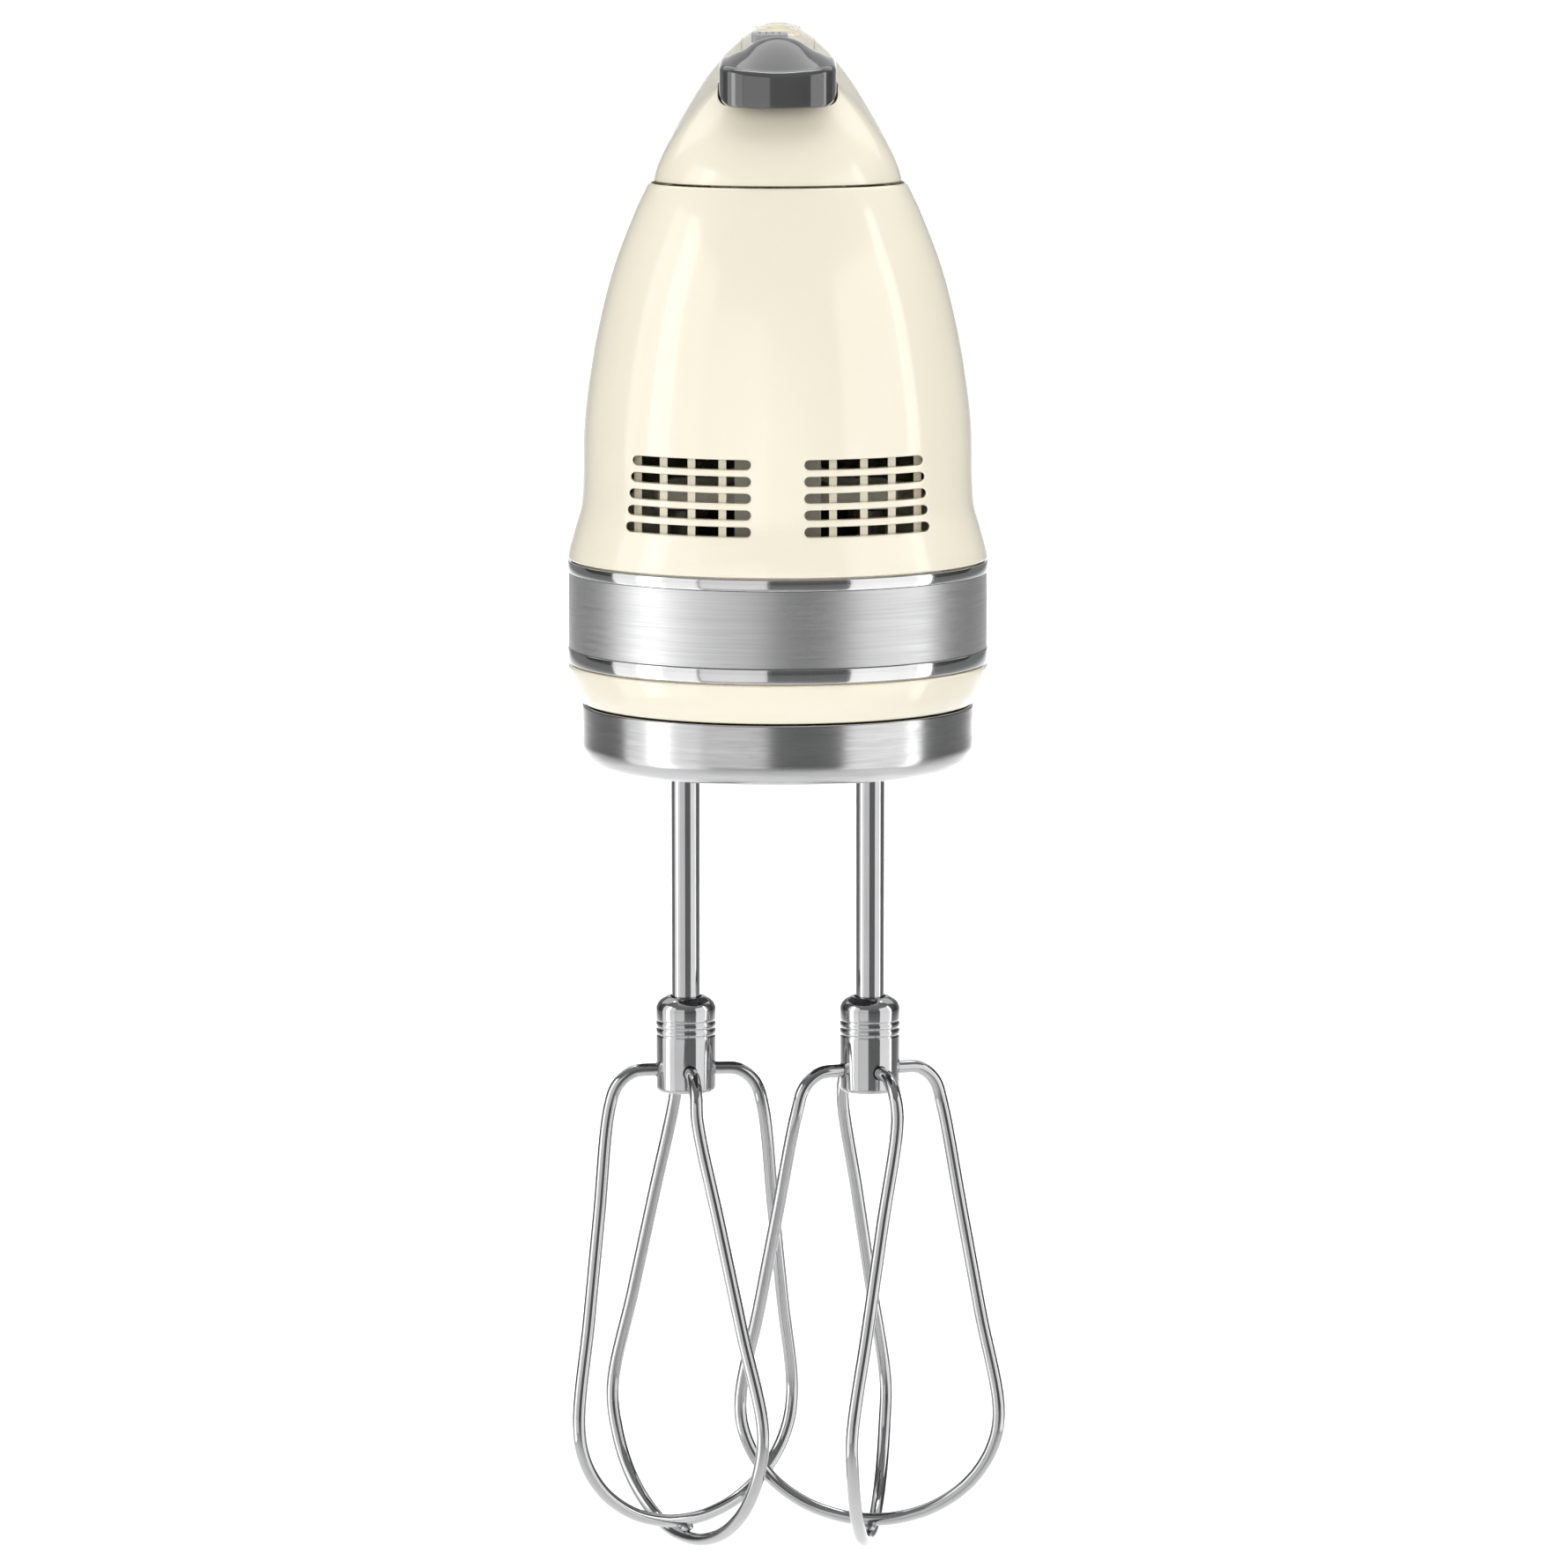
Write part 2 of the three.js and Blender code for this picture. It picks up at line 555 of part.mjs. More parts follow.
function addEjector() {
  add('ejector_button', ejectorButton(), darkGrey);
  const rod = [
    [0, YOKE_Z + 4 + GAP], [ROD.radius, YOKE_Z + 4 + GAP], [ROD.radius, ROD.collarZ],
    [ROD.collar, ROD.collarZ], [ROD.collar, ROD.collarZ + 2.5], [ROD.radius, ROD.collarZ + 2.5],
    [ROD.radius, ROD.top], [0, ROD.top]];
  add('ejector_rod', turned(rod, 'z', [0, ROD_Y, 0], 16), nylon);
  const bar = roundedOutline([[-26, -5, 3], [26, -5, 3], [26, 5, 3], [-26, 5, 3]]);
  const tongue = block(-5, 5, ROD_Y - 4, 0, YOKE_Z, YOKE_Z + 4);
  add('ejector_yoke', join(prism(bar, 'z', YOKE_Z, YOKE_Z + 4, 2), tongue), nylon);
  const spring = coil(SPRING, BRIDGE_Z + GAP, ROD.collarZ - GAP).translate(0, ROD_Y, 0);
  add('ejector_spring', spring, steel);
}

// ---------- gears, worm and pushers ----------

// A twisted prism about the axis: the outline is a list of [angle, radius].
function twisted(outline, from, to, turnPerMm, steps) {
  const positions = [0, 0, from];
  const index = [];
  const n = outline.length;
  for (let j = 0; j <= steps; j += 1) {
    const z = from + (to - from) * j / steps;
    for (const [angle, r] of outline) {
      positions.push(r * Math.cos(angle + z * turnPerMm), r * Math.sin(angle + z * turnPerMm), z);
    }
  }
  positions.push(0, 0, to);
  const top = positions.length / 3 - 1;
  for (let i = 0; i < n; i += 1) {
    const k = (i + 1) % n;
    index.push(0, 1 + k, 1 + i, top, 1 + steps * n + i, 1 + steps * n + k);
    for (let j = 0; j < steps; j += 1) {
      const a = 1 + j * n + i;
      const b = 1 + j * n + k;
      index.push(a, b, b + n, a, b + n, a + n);
    }
  }
  const geometry = new THREE.BufferGeometry();
  geometry.setAttribute('position', new THREE.Float32BufferAttribute(positions, 3));
  geometry.setIndex(index);
  return geometry;
}

const FLANK = Math.tan(20 * Math.PI / 180);
const HALF_TOOTH = 0.8;
const TIP_HALF = HALF_TOOTH - TOOTH_TOP * FLANK;
const ROOT_HALF = HALF_TOOTH + TOOTH_ROOT * FLANK;
const BORE_R = STEM_R + 0.4;
const WING = { half: 4.5, thickness: 1.2, from: 19.5, to: 27 };

// The left gear meets the worm on its +X side, the right gear on its -X side.
function driveGear(side) {
  const step = 2 * Math.PI / TEETH;
  const facing = side < 0 ? 0 : Math.PI;
  const outline = [];
  for (let i = 0; i < TEETH; i += 1) {
    const middle = facing + (i + 0.25) * step;
    const at = (half, r) => [middle + half / GEAR_PITCH_R, r];
    outline.push(at(-ROOT_HALF, GEAR_PITCH_R - TOOTH_ROOT), at(-TIP_HALF, GEAR_PITCH_R + TOOTH_TOP),
      at(TIP_HALF, GEAR_PITCH_R + TOOTH_TOP), at(ROOT_HALF, GEAR_PITCH_R - TOOTH_ROOT));
  }
  const twist = WORM_PITCH / (2 * Math.PI * WORM_PITCH_R) / GEAR_PITCH_R;
  const rim = twisted(outline, -GEAR_HEIGHT / 2, GEAR_HEIGHT / 2, twist, 1).translate(0, 0, SHAFT_Z);
  const hub = turned(disc(6.4, 18.5, 43), 'z', [0, 0, 0], 20);
  const bore = turned(disc(BORE_R, 10, 50), 'z', [0, 0, 0], 16);
  const slot = block(-WING.half - GAP, WING.half + GAP,
    -WING.thickness / 2 - GAP, WING.thickness / 2 + GAP, 10, WING.to + GAP);
  return cut(join(rim, hub), bore, slot).translate(side * AXIS_X, 0, 0);
}

function wormThread() {
  const toAngle = 2 * Math.PI / WORM_PITCH;
  const crestR = WORM_PITCH_R + TOOTH_TOP;
  const rootR = WORM_PITCH_R - TOOTH_ROOT;
  const outline = [];
  const FLANK_STEPS = 3;
  const ROOT_STEPS = 5;
  for (let i = 0; i < FLANK_STEPS; i += 1) {
    const t = i / FLANK_STEPS;
    const along = -ROOT_HALF + (ROOT_HALF - TIP_HALF) * t;
    outline.push([along * toAngle, rootR + (crestR - rootR) * t]);
  }
  outline.push([-TIP_HALF * toAngle, crestR], [0, crestR]);
  for (let i = 0; i < FLANK_STEPS; i += 1) {
    const t = i / FLANK_STEPS;
    const along = TIP_HALF + (ROOT_HALF - TIP_HALF) * t;
    outline.push([along * toAngle, crestR + (rootR - crestR) * t]);
  }
  for (let i = 0; i < ROOT_STEPS; i += 1) {
    const t = i / ROOT_STEPS;
    outline.push([(ROOT_HALF + (WORM_PITCH - 2 * ROOT_HALF) * t) * toAngle, rootR]);
  }
  const length = 14;
  const steps = Math.round(length / WORM_PITCH * 10);
  const thread = twisted(outline, -length / 2, length / 2, toAngle, steps);
  // angle 0 along local x turns into +Z, and the local axis into +Y
  return thread.applyMatrix4(AXES.y).translate(0, 0, SHAFT_Z);
}

const PUSHER = { from: 37.4, shoulder: 52, top: YOKE_Z - 0.4, headRadius: 5 };

function addGears() {
  for (const [name, side] of [['left', -1], ['right', 1]]) {
    const at = [side * AXIS_X, 0, 0];
    add(`drive_gear_${name}`, driveGear(side), nylon);
    const bush = [
      [6.6, 18], [8.8, 18], [8.8, 26.5], [10.4, 26.5], [10.4, 28.5], [6.6, 28.5], [6.6, 18]];
    add(`gear_bush_${name}`, turned(bush, 'z', at), brass);
    const { from, shoulder, top, headRadius } = PUSHER;
    const pin = [
      [0, from], [STEM_R, from], [STEM_R, shoulder],
      [headRadius, shoulder], [headRadius, top], [0, top]];
    add(`pusher_${name}`, turned(pin, 'z', at, 16), steel);
  }
}

// ---------- gearbox frame ----------

const FACE = { y0: 29, y1: 31.5 };
const SHAFT = { worm: 2.5, bearing: 3, from: -19, to: 103 };
const BEARING = { radius: 7 };

function gearboxFrame() {
  const deck = prism(roundedOutline([[-36, -18, 12], [36, -18, 12], [36, 19, 3], [-36, 19, 3]]),
    'z', 20.6, 24.2, 3);
  const post = (y0, y1, halfX, top) => block(-halfX, halfX, y0, y1, 20.6, top);
  const frontPost = post(-20, -16.6, 9, BRIDGE_Z);
  const rearPost = post(14, 19, 9.4, SHAFT_Z + 9.5);
  const bridge = block(-9, 9, -20, -1.5, BRIDGE_Z - 3.4, BRIDGE_Z);
  const arms = [-36, 32].map((x) => block(x, x + 4, 14, FACE.y1, 20.6, 46));
  const face = prism(roundedOutline([
      [8, -31, 4], [8, 31, 4], [14.5, 36, 3], [58, 36, 14], [58, -36, 14], [14.5, -36, 3]]),
  'y', FACE.y0, FACE.y1, 3);
  const fanOpening = turned(disc(23.6, FACE.y0 - 1, FACE.y1 + 1), 'y', [0, 0, SHAFT_Z]);
  const legs = [[-25, -11], [25, -11], [-28, 14], [28, 14]]
    .map(([x, y]) => block(x - 3, x + 3, y - 3, y + 3, 4.5, 21));
  const bushSeats = [-AXIS_X, AXIS_X].map((x) => turned(disc(8.8 + GAP, 10, 26.2), 'z', [x, 0, 0]));
  const frontBore = turned(disc(SHAFT.worm + 0.5, -30, -10), 'y', [0, 0, SHAFT_Z], 16);
  const frontSeat = turned(disc(5 + GAP, -18.6, -10), 'y', [0, 0, SHAFT_Z], 20);
  const rearSeat = turned(disc(BEARING.radius + GAP, 13, 20), 'y', [0, 0, SHAFT_Z], 20);
  const rodHole = turned(disc(ROD.radius + 0.5, 60, 80), 'z', [0, ROD_Y, 0], 16);
  return cut(join(deck, frontPost, rearPost, bridge, ...arms, cut(face, fanOpening), ...legs),
    ...bushSeats, frontBore, frontSeat, rearSeat, rodHole);
}

// ---------- motor ----------

const CAN = { radius: 26, wall: 1.4, y0: 32, y1: 86 };
const MAGNET = { inner: 18.6, outer: 24.2, y0: 37, y1: 79, halfAngle: 62 };
const ARMATURE = { radius: 17.6, y0: 39, y1: 77, slots: 8 };
const COMMUTATOR = { radius: 8, y0: 88, y1: 95.5 };
const END_CAP = { y0: 86.4, y1: 99.5 };
const FAN = { y0: 20.3, y1: 27.3, radius: 21.5, blades: 9 };
const BRUSH = { width: 4, height: 5, y: 91.7 };

const alongShaft = (profile, segments = 20) => turned(profile, 'y', [0, 0, SHAFT_Z], segments);

function motorCan() {
  const { radius, wall, y0, y1 } = CAN;
  const cup = [
    [9, y0], [radius, y0], [radius, y1], [radius - wall, y1],
    [radius - wall, y0 + wall], [9, y0 + wall], [9, y0]];
  const windows = [45, 135, 225, 315].map((degrees) => {
    const angle = degrees * Math.PI / 180;
    return block(11, 20, y0 - 2, y0 + 4, -4, 4).rotateY(angle).translate(0, 0, SHAFT_Z);
  });
  return cut(alongShaft(cup, 28), ...windows);
}

function magnet(side) {
  const { inner, outer, y0, y1, halfAngle } = MAGNET;
  const shape = new THREE.Shape();
  const half = halfAngle * Math.PI / 180;
  shape.absarc(0, 0, outer, -half, half, false);
  shape.absarc(0, 0, inner, half, -half, true);
  shape.closePath();
  // the shape is drawn round local x, which the y prism turns into +Z
  return prism(shape, 'y', y0, y1, 8).rotateY(side * Math.PI / 2).translate(0, 0, SHAFT_Z);
}

function armature() {
  const { radius, y0, y1, slots } = ARMATURE;
  const shape = new THREE.Shape();
  const step = 2 * Math.PI / slots;
  const polar = (r, angle) => [r * Math.cos(angle), r * Math.sin(angle)];
  for (let i = 0; i < slots; i += 1) {
    const a = i * step;
    const corners = [
      [radius, a + 0.1], [radius, a + step / 2], [radius, a + step - 0.1],
      [radius - 1.8, a + step - 0.1], [radius - 3, a + step - 0.24], [8.4, a + step - 0.3],
      [8.4, a + step + 0.3], [radius - 3, a + step + 0.24], [radius - 1.8, a + step + 0.1]];
    corners.forEach(([r, angle], k) => {
      const [x, y] = polar(r, angle);
      if (i === 0 && k === 0) shape.moveTo(x, y);
      else shape.lineTo(x, y);
    });
  }
  shape.closePath();
  const core = prism(shape, 'y', y0, y1).translate(0, 0, SHAFT_Z);
  const windings = [y0 - 4.5, y1 - 0.5].map((y) => alongShaft([
    [0, y], [11, y], [14.5, y + 1.5], [14.5, y + 3.5], [11, y + 5], [0, y + 5]], 16));
  return cut(join(core, ...windings), alongShaft(disc(SHAFT.bearing + GAP, 20, 90), 16));
}

function coolingFan() {
  const { y0, y1, radius, blades } = FAN;
  const hub = alongShaft(disc(6.5, y0, y1), 20);
  const plate = alongShaft(disc(radius, y1 - 1.4, y1), 30);
  const vanes = [];
  for (let i = 0; i < blades; i += 1) {
    const angle = 2 * Math.PI * i / blades;
    const vane = block(4, radius - 0.6, y0, y1 - 0.5, -0.6, 0.6).rotateY(angle);
    vanes.push(vane.translate(0, 0, SHAFT_Z));
  }
  return cut(join(plate, hub, ...vanes), alongShaft(disc(SHAFT.bearing + GAP, 10, 40), 16));
}

function endCap() {
  const { y0, y1 } = END_CAP;
  const shell = [
    [0, y1 - 2.5], [21.5, y1 - 2.5], [21.5, y0], [26, y0],
    [26, y0 + 3], [24, y1], [0, y1], [0, y1 - 2.5]];
  const boss = alongShaft(disc(9, y1 - 1, y1 + 4), 20);
  const seat = alongShaft(disc(BEARING.radius + GAP, y1 - 1.2, y1 + 6), 20);
  const shaftHole = alongShaft(disc(SHAFT.bearing + 0.5, y0, y1 + 6), 16);
  const air = [SHAFT_Z - 16, SHAFT_Z + 16].map((z) => block(-6, 6, y1 - 4, y1 + 1, z - 3, z + 3));
  return cut(join(alongShaft(shell, 24), boss), seat, shaftHole, ...air);
}

function addMotor() {
  add('motor_can', motorCan(), brushed);
  add('magnet_left', magnet(-1), ferrite);
  add('magnet_right', magnet(1), ferrite);
  add('motor_end_cap', endCap(), blackPlastic);
  const { width, height, y } = BRUSH;
  for (const [name, side] of [['left', -1], ['right', 1]]) {
    const across = (x0, x1, w, h) => {
      const [a, b] = side > 0 ? [x0, x1] : [-x1, -x0];
      return block(a, b, y - w / 2, y + w / 2, SHAFT_Z - h / 2, SHAFT_Z + h / 2);
    };
    const from = COMMUTATOR.radius + 0.15;
    add(`carbon_brush_${name}`, across(from, from + 5.5, width, height), graphite);
    const holder = cut(
      across(10.3, 21, width + 2, height + 2),
      across(9, 19.8, width + 2 * GAP, height + 2 * GAP));
    add(`brush_holder_${name}`, holder, brass);
    const spring = coil({ wire: 0.35, radius: 1.4, turns: 3 }, 0, 5.5, 4);
    add(`brush_spring_${name}`,
      spring.rotateY(Math.PI / 2 * side).translate(side * (from + 5.5 + GAP), y, SHAFT_Z), steel);
  }
  const ring = (inner, outer, y0, y1) => alongShaft(sleeve(inner, outer, y0, y1), 20);
  add('front_bearing', ring(SHAFT.worm + 0.1, 5, -18.3, -16.8), brass);
  add('worm_bearing', ring(SHAFT.bearing + 0.1, BEARING.radius, 14.3, 18.7), brass);
  const rearRing = ring(SHAFT.bearing + 0.1, BEARING.radius, END_CAP.y1 - 0.9, END_CAP.y1 + 3.7);
  add('rear_bearing', rearRing, brass);

  const shaft = [
    [0, SHAFT.from], [SHAFT.worm, SHAFT.from], [SHAFT.worm, 9],
    [SHAFT.bearing, 9], [SHAFT.bearing, SHAFT.to], [0, SHAFT.to]];
  add('motor_shaft', alongShaft(shaft, 16), steel);
  add('worm', cut(wormThread(), alongShaft(disc(SHAFT.worm + 0.12, -20, 20), 16)), steel);
  add('armature', armature(), copper);
  add('commutator', ring(SHAFT.bearing + GAP, COMMUTATOR.radius, COMMUTATOR.y0, COMMUTATOR.y1), copper);
  add('cooling_fan', coolingFan(), blackPlastic);
  add('gearbox_frame', gearboxFrame(), offWhite);
}

// ---------- beaters ----------

function wireLoop(topAngle, bottomAngle, depth) {
  const [shoulderR, shoulderZ] = [16.6, -74.5];
  const [wideR, wideZ] = [28, -140];
  const exitZ = -65.9;
  const side = (sign) => {
    const polar = (r, degrees, z) => {
      const angle = degrees * Math.PI / 180;
      return new THREE.Vector3(sign * r * Math.cos(angle), sign * r * Math.sin(angle), z);
    };
    const points = [[2.9, exitZ], [7, exitZ], [11.4, exitZ - 0.4], [14.8, exitZ - 3.2]]
      .map(([r, z]) => polar(r, topAngle, z));
    const shoulder = polar(shoulderR, topAngle, shoulderZ);
    const wide = polar(wideR, bottomAngle, wideZ);
    for (const t of [0, 0.33, 0.67, 1]) points.push(shoulder.clone().lerp(wide, t));
    for (const degrees of [20, 40, 60, 77]) {
      const angle = degrees * Math.PI / 180;
      points.push(polar(wideR * Math.cos(angle), bottomAngle, wideZ - depth * Math.sin(angle)));
    }
    return points;
  };
  const bottom = new THREE.Vector3(0, 0, wideZ - depth);
  return new THREE.CatmullRomCurve3([...side(1), bottom, ...side(-1).reverse()], false, 'centripetal');
}

function addBeater(name, side, topAngle, bottomAngle) {
  const x = side * AXIS_X;
  const at = [x, 0, 0];
  const loops = {
    a: wireLoop(topAngle, bottomAngle, 24.3),
    b: wireLoop(topAngle + 90, bottomAngle + 90, 28.2),
  };
  const { top, bottom, radius } = HUB;
  const hub = [
    [0, bottom], [radius - 0.8, bottom], [radius, bottom + 0.8], [radius, top - 2.6],
    [radius - 1.4, top], [STEM_R + GAP, top], [STEM_R + GAP, top - 11], [0, top - 11]];
  const holes = Object.values(loops)
    .map((curve) => wire(curve, WIRE_R + GAP, 44, 6).translate(x, 0, 0));
  add(`beater_hub_${name}`, cut(turned(hub, 'z', at, 24), ...holes), chrome);
  const stem = turned(disc(STEM_R, top - 10.7, PUSHER.from - 0.4), 'z', at, 20);
  const wing = block(
    x - WING.half, x + WING.half, -WING.thickness / 2, WING.thickness / 2, WING.from, WING.to);
  add(`beater_stem_${name}`, join(stem, wing), chrome);
  for (const [letter, curve] of Object.entries(loops)) {
    add(`beater_loop_${letter}_${name}`, wire(curve, WIRE_R, 44, 6).translate(x, 0, 0), chrome);
  }
}

// ---------- cord gland ----------

function cordGland() {
  const { radius, z } = GLAND;
  const turret = [
    [0, 148], [radius - 1, 148], [radius - 1, 150], [radius, 150],
    [radius, 157.6], [radius - 1, 158.6], [0, 158.6]];
  const bore = turned(disc(3.2, 0, 20), 'z', [0, 0, 0], 16).rotateX(0.9).translate(0, 153, z - 9);
  return cut(turned(turret, 'y', [0, 0, z], 24), bore);
}

addCasings();
add('vent_ribs', ventRibs(), cream);
addControls();
addEjector();
addGears();
addMotor();
addBeater('left', -1, 8, 36);
addBeater('right', 1, 20, -8);
add('cord_gland', cordGland(), greyRubber);

export default mixer;
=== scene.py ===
"""Electric hand mixer: the detailed shells, trims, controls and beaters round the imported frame.

Shapes are drawn in millimetres in the mixer's own axes: z = 0 is the underside of the base skirt,
y = 0 the plane of the two beater axes, and the front faces -Y. `new_object` turns them into the
frame's metres.
"""

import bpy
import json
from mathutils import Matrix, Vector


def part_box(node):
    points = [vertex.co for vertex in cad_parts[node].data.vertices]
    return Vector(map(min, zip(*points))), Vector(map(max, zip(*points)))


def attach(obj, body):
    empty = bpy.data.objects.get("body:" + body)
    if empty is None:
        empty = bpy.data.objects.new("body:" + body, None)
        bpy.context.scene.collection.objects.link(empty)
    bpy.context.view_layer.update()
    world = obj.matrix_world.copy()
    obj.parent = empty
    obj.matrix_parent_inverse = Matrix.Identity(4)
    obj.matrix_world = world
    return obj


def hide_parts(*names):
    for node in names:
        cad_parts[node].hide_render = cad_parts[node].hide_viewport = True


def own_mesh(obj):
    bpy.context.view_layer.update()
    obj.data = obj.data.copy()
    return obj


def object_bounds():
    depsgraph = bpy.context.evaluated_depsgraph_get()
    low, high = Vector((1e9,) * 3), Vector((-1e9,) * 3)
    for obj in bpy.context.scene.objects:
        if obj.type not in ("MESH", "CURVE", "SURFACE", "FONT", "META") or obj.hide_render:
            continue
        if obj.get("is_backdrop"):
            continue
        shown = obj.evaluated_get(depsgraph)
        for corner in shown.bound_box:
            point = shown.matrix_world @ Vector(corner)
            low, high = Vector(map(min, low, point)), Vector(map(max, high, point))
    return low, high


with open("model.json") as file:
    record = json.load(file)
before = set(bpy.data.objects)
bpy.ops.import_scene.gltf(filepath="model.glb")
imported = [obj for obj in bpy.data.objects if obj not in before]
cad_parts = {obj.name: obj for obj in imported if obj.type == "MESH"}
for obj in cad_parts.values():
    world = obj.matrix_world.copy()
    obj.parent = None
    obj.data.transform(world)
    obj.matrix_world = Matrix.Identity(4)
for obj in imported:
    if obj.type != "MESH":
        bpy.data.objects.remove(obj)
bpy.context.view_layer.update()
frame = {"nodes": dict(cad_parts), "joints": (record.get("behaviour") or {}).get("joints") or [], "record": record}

import json
import math

import bmesh
import bpy
import numpy as np
from mathutils import Vector
from mathutils.bvhtree import BVHTree

# ---------- the mixer's own axes ----------

JOINTS = {joint["name"]: joint for joint in frame["joints"]}
BEATER_PLANE_Y = JOINTS["gear_left_spin"]["pos_m"][1]
BASE_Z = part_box("base_skirt")[0].z
ORIGIN = np.array([0.0, BEATER_PLANE_Y, BASE_Z])
MM = 0.001


def local_box(node):
    """Lowest and highest corner of a CAD node, in the mixer's own millimetres."""
    low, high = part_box(node)
    return (np.array(low) - ORIGIN) / MM, (np.array(high) - ORIGIN) / MM


def local_middle(node):
    low, high = local_box(node)
    return (low + high) / 2


def travel_of(joint):
    """A sliding joint's range, in millimetres."""
    return JOINTS[joint]["range_m"][1] / MM


# ---------- driving dimensions, in millimetres ----------

GAP = 0.3
SKIRT_TOP = local_box("base_skirt")[1][2]
SKIRT_CORNER = 4.6
BAND_BOTTOM, BAND_TOP = local_box("trim_band")[0][2], local_box("trim_band")[1][2]
BAND_THICKNESS = 1.2
SEAM_Z = local_box("main_housing")[1][2]
AXIS_X = abs(JOINTS["gear_left_spin"]["pos_m"][0]) / MM
TONGUE_MEET = 32.2
TONGUE_DEPTH = BAND_THICKNESS + GAP

PANEL_TILT = math.radians(4.4)
PANEL_MIDDLE = (33.0, 152.4)
PANEL_HALF = (7.5, 26.0)

# ---------- smooth curves ----------


def curve_through(points):
    """A smooth value at any height through (height, value) points."""
    xs = np.array([p[0] for p in points], float)
    ys = np.array([p[1] for p in points], float)
    slopes = np.empty_like(ys)
    slopes[1:-1] = (ys[2:] - ys[:-2]) / (xs[2:] - xs[:-2])
    slopes[0] = (ys[1] - ys[0]) / (xs[1] - xs[0])
    slopes[-1] = (ys[-1] - ys[-2]) / (xs[-1] - xs[-2])

    def value(at):
        at = np.clip(np.asarray(at, float), xs[0], xs[-1])
        i = np.clip(np.searchsorted(xs, at, side="right") - 1, 0, len(xs) - 2)
        span = xs[i + 1] - xs[i]
        t = (at - xs[i]) / span
        return (ys[i] * (1 + 2 * t) * (1 - t) ** 2 + slopes[i] * span * t * (1 - t) ** 2
                + ys[i + 1] * t * t * (3 - 2 * t) - slopes[i + 1] * span * t * t * (1 - t))

    return value


def ease(x, start, end):
    t = np.clip((x - start) / (end - start), 0, 1)
    return t * t * (3 - 2 * t)


FRONT_RADIUS = curve_through([
    (0, 41.5), (13, 41.5), (16.1, 43.2), (21.9, 44.5), (43.5, 44.5), (49.8, 43), (55.5, 41.5),
    (72.2, 40.9), (83.4, 39.5), (94.5, 37.4), (105.6, 34.4), (116.7, 30.1), (122.8, 27.2)])
WAIST = curve_through([
    (0, 41.3), (16.1, 43), (21.9, 44.2), (43.5, 44.2), (50, 42), (56, 40.5), (62, 38),
    (68, 33.5), (73, 28), (77, 22), (84, 18.5), (100, 15.5), (112, 15.5), (117, 16.8),
    (122.8, 17.8)])
REAR_WIDTH = curve_through([
    (0, 31.5), (21.9, 34.5), (43.5, 34.5), (60, 32), (78, 25), (95, 20), (122.8, 17.8)])
REAR_REACH = curve_through([
    (0, 151), (21.9, 154), (43.5, 154), (60, 157.5), (110, 158), (122.8, 156)])
CREST = curve_through([
    (0, 150.6), (12, 152), (30, 154.1), (50, 155.2), (80, 154.7), (105, 152.4), (124, 148.4),
    (132, 145.6)])
SPINE = (1.0, 130.0)
REAR_SQUARENESS = (0.6, 0.8)


def half_outline(z, inset=0.0):
    """Dense right half of the body's outline at a height, from the front middle to the rear."""
    front, rear = FRONT_RADIUS(z), REAR_REACH(z) - inset
    corner = min(20.0, REAR_WIDTH(z) - 2)

    def half_width(y):
        middle = front + (WAIST(z) - front) * ease(y, 0, 52)
        return middle + (REAR_WIDTH(z) - middle) * ease(y, 66, 146) - inset

    turn = np.linspace(-math.pi / 2, 0, 160)
    arc = np.stack([(front - inset) * np.cos(turn), (front - inset) * np.sin(turn)], 1)
    ys = np.linspace(0, rear - corner, 320)[1:-1]
    side = np.stack([half_width(ys), ys], 1)
    turn = np.linspace(0, math.pi / 2, 400)
    end = np.stack([half_width(rear - corner) * np.cos(turn).clip(0) ** REAR_SQUARENESS[0],
                    rear - corner + corner * np.sin(turn) ** REAR_SQUARENESS[1]], 1)
    points = np.concatenate([arc, side, end])
    points[0, 0] = points[-1, 0] = 0
    return points


def mirrored_evenly(half, count):
    """A closed outline of evenly spaced points from its right half, mirrored about x = 0."""
    along = np.concatenate([[0], np.cumsum(np.linalg.norm(np.diff(half, axis=0), axis=1))])
    at = np.linspace(0, along[-1], count // 2 + 1)
    right = np.stack([np.interp(at, along, half[:, 0]), np.interp(at, along, half[:, 1])], 1)
    return np.concatenate([right, right[-2:0:-1] * [-1, 1]])


def outline(z, inset=0.0, count=360):
    return mirrored_evenly(half_outline(z, inset), count)


def lifted(flat, height):
    """A flat outline as a ring of points; the height is one number or one for each point."""
    return np.column_stack([flat, np.broadcast_to(height, len(flat))])


def ring_at(z, inset=0.0, shape_z=None):
    return lifted(outline(z if shape_z is None else shape_z, inset), z)


# ---------- flat outlines ----------


def circle(x, y, radius, segments=48):
    turn = np.linspace(0, 2 * math.pi, segments, endpoint=False)
    return np.stack([x + radius * np.cos(turn), y + radius * np.sin(turn)], 1)


def rounded(corners, steps=8):
    """A closed outline through (x, y, radius) corners."""
    corners = [np.array(c, float) for c in corners]
    points = []
    for i, corner in enumerate(corners):
        here, radius = corner[:2], corner[2]
        before, after = corners[i - 1][:2], corners[(i + 1) % len(corners)][:2]
        start = here + (before - here) / np.linalg.norm(before - here) * radius
        end = here + (after - here) / np.linalg.norm(after - here) * radius
        for t in np.linspace(0, 1, steps if radius > 0 else 1):
            points.append((1 - t) ** 2 * start + 2 * t * (1 - t) * here + t * t * end)
    return np.array(points)


def rectangle(x0, x1, y0, y1, radius, steps=8):
    return rounded([(x0, y0, radius), (x1, y0, radius), (x1, y1, radius), (x0, y1, radius)], steps)


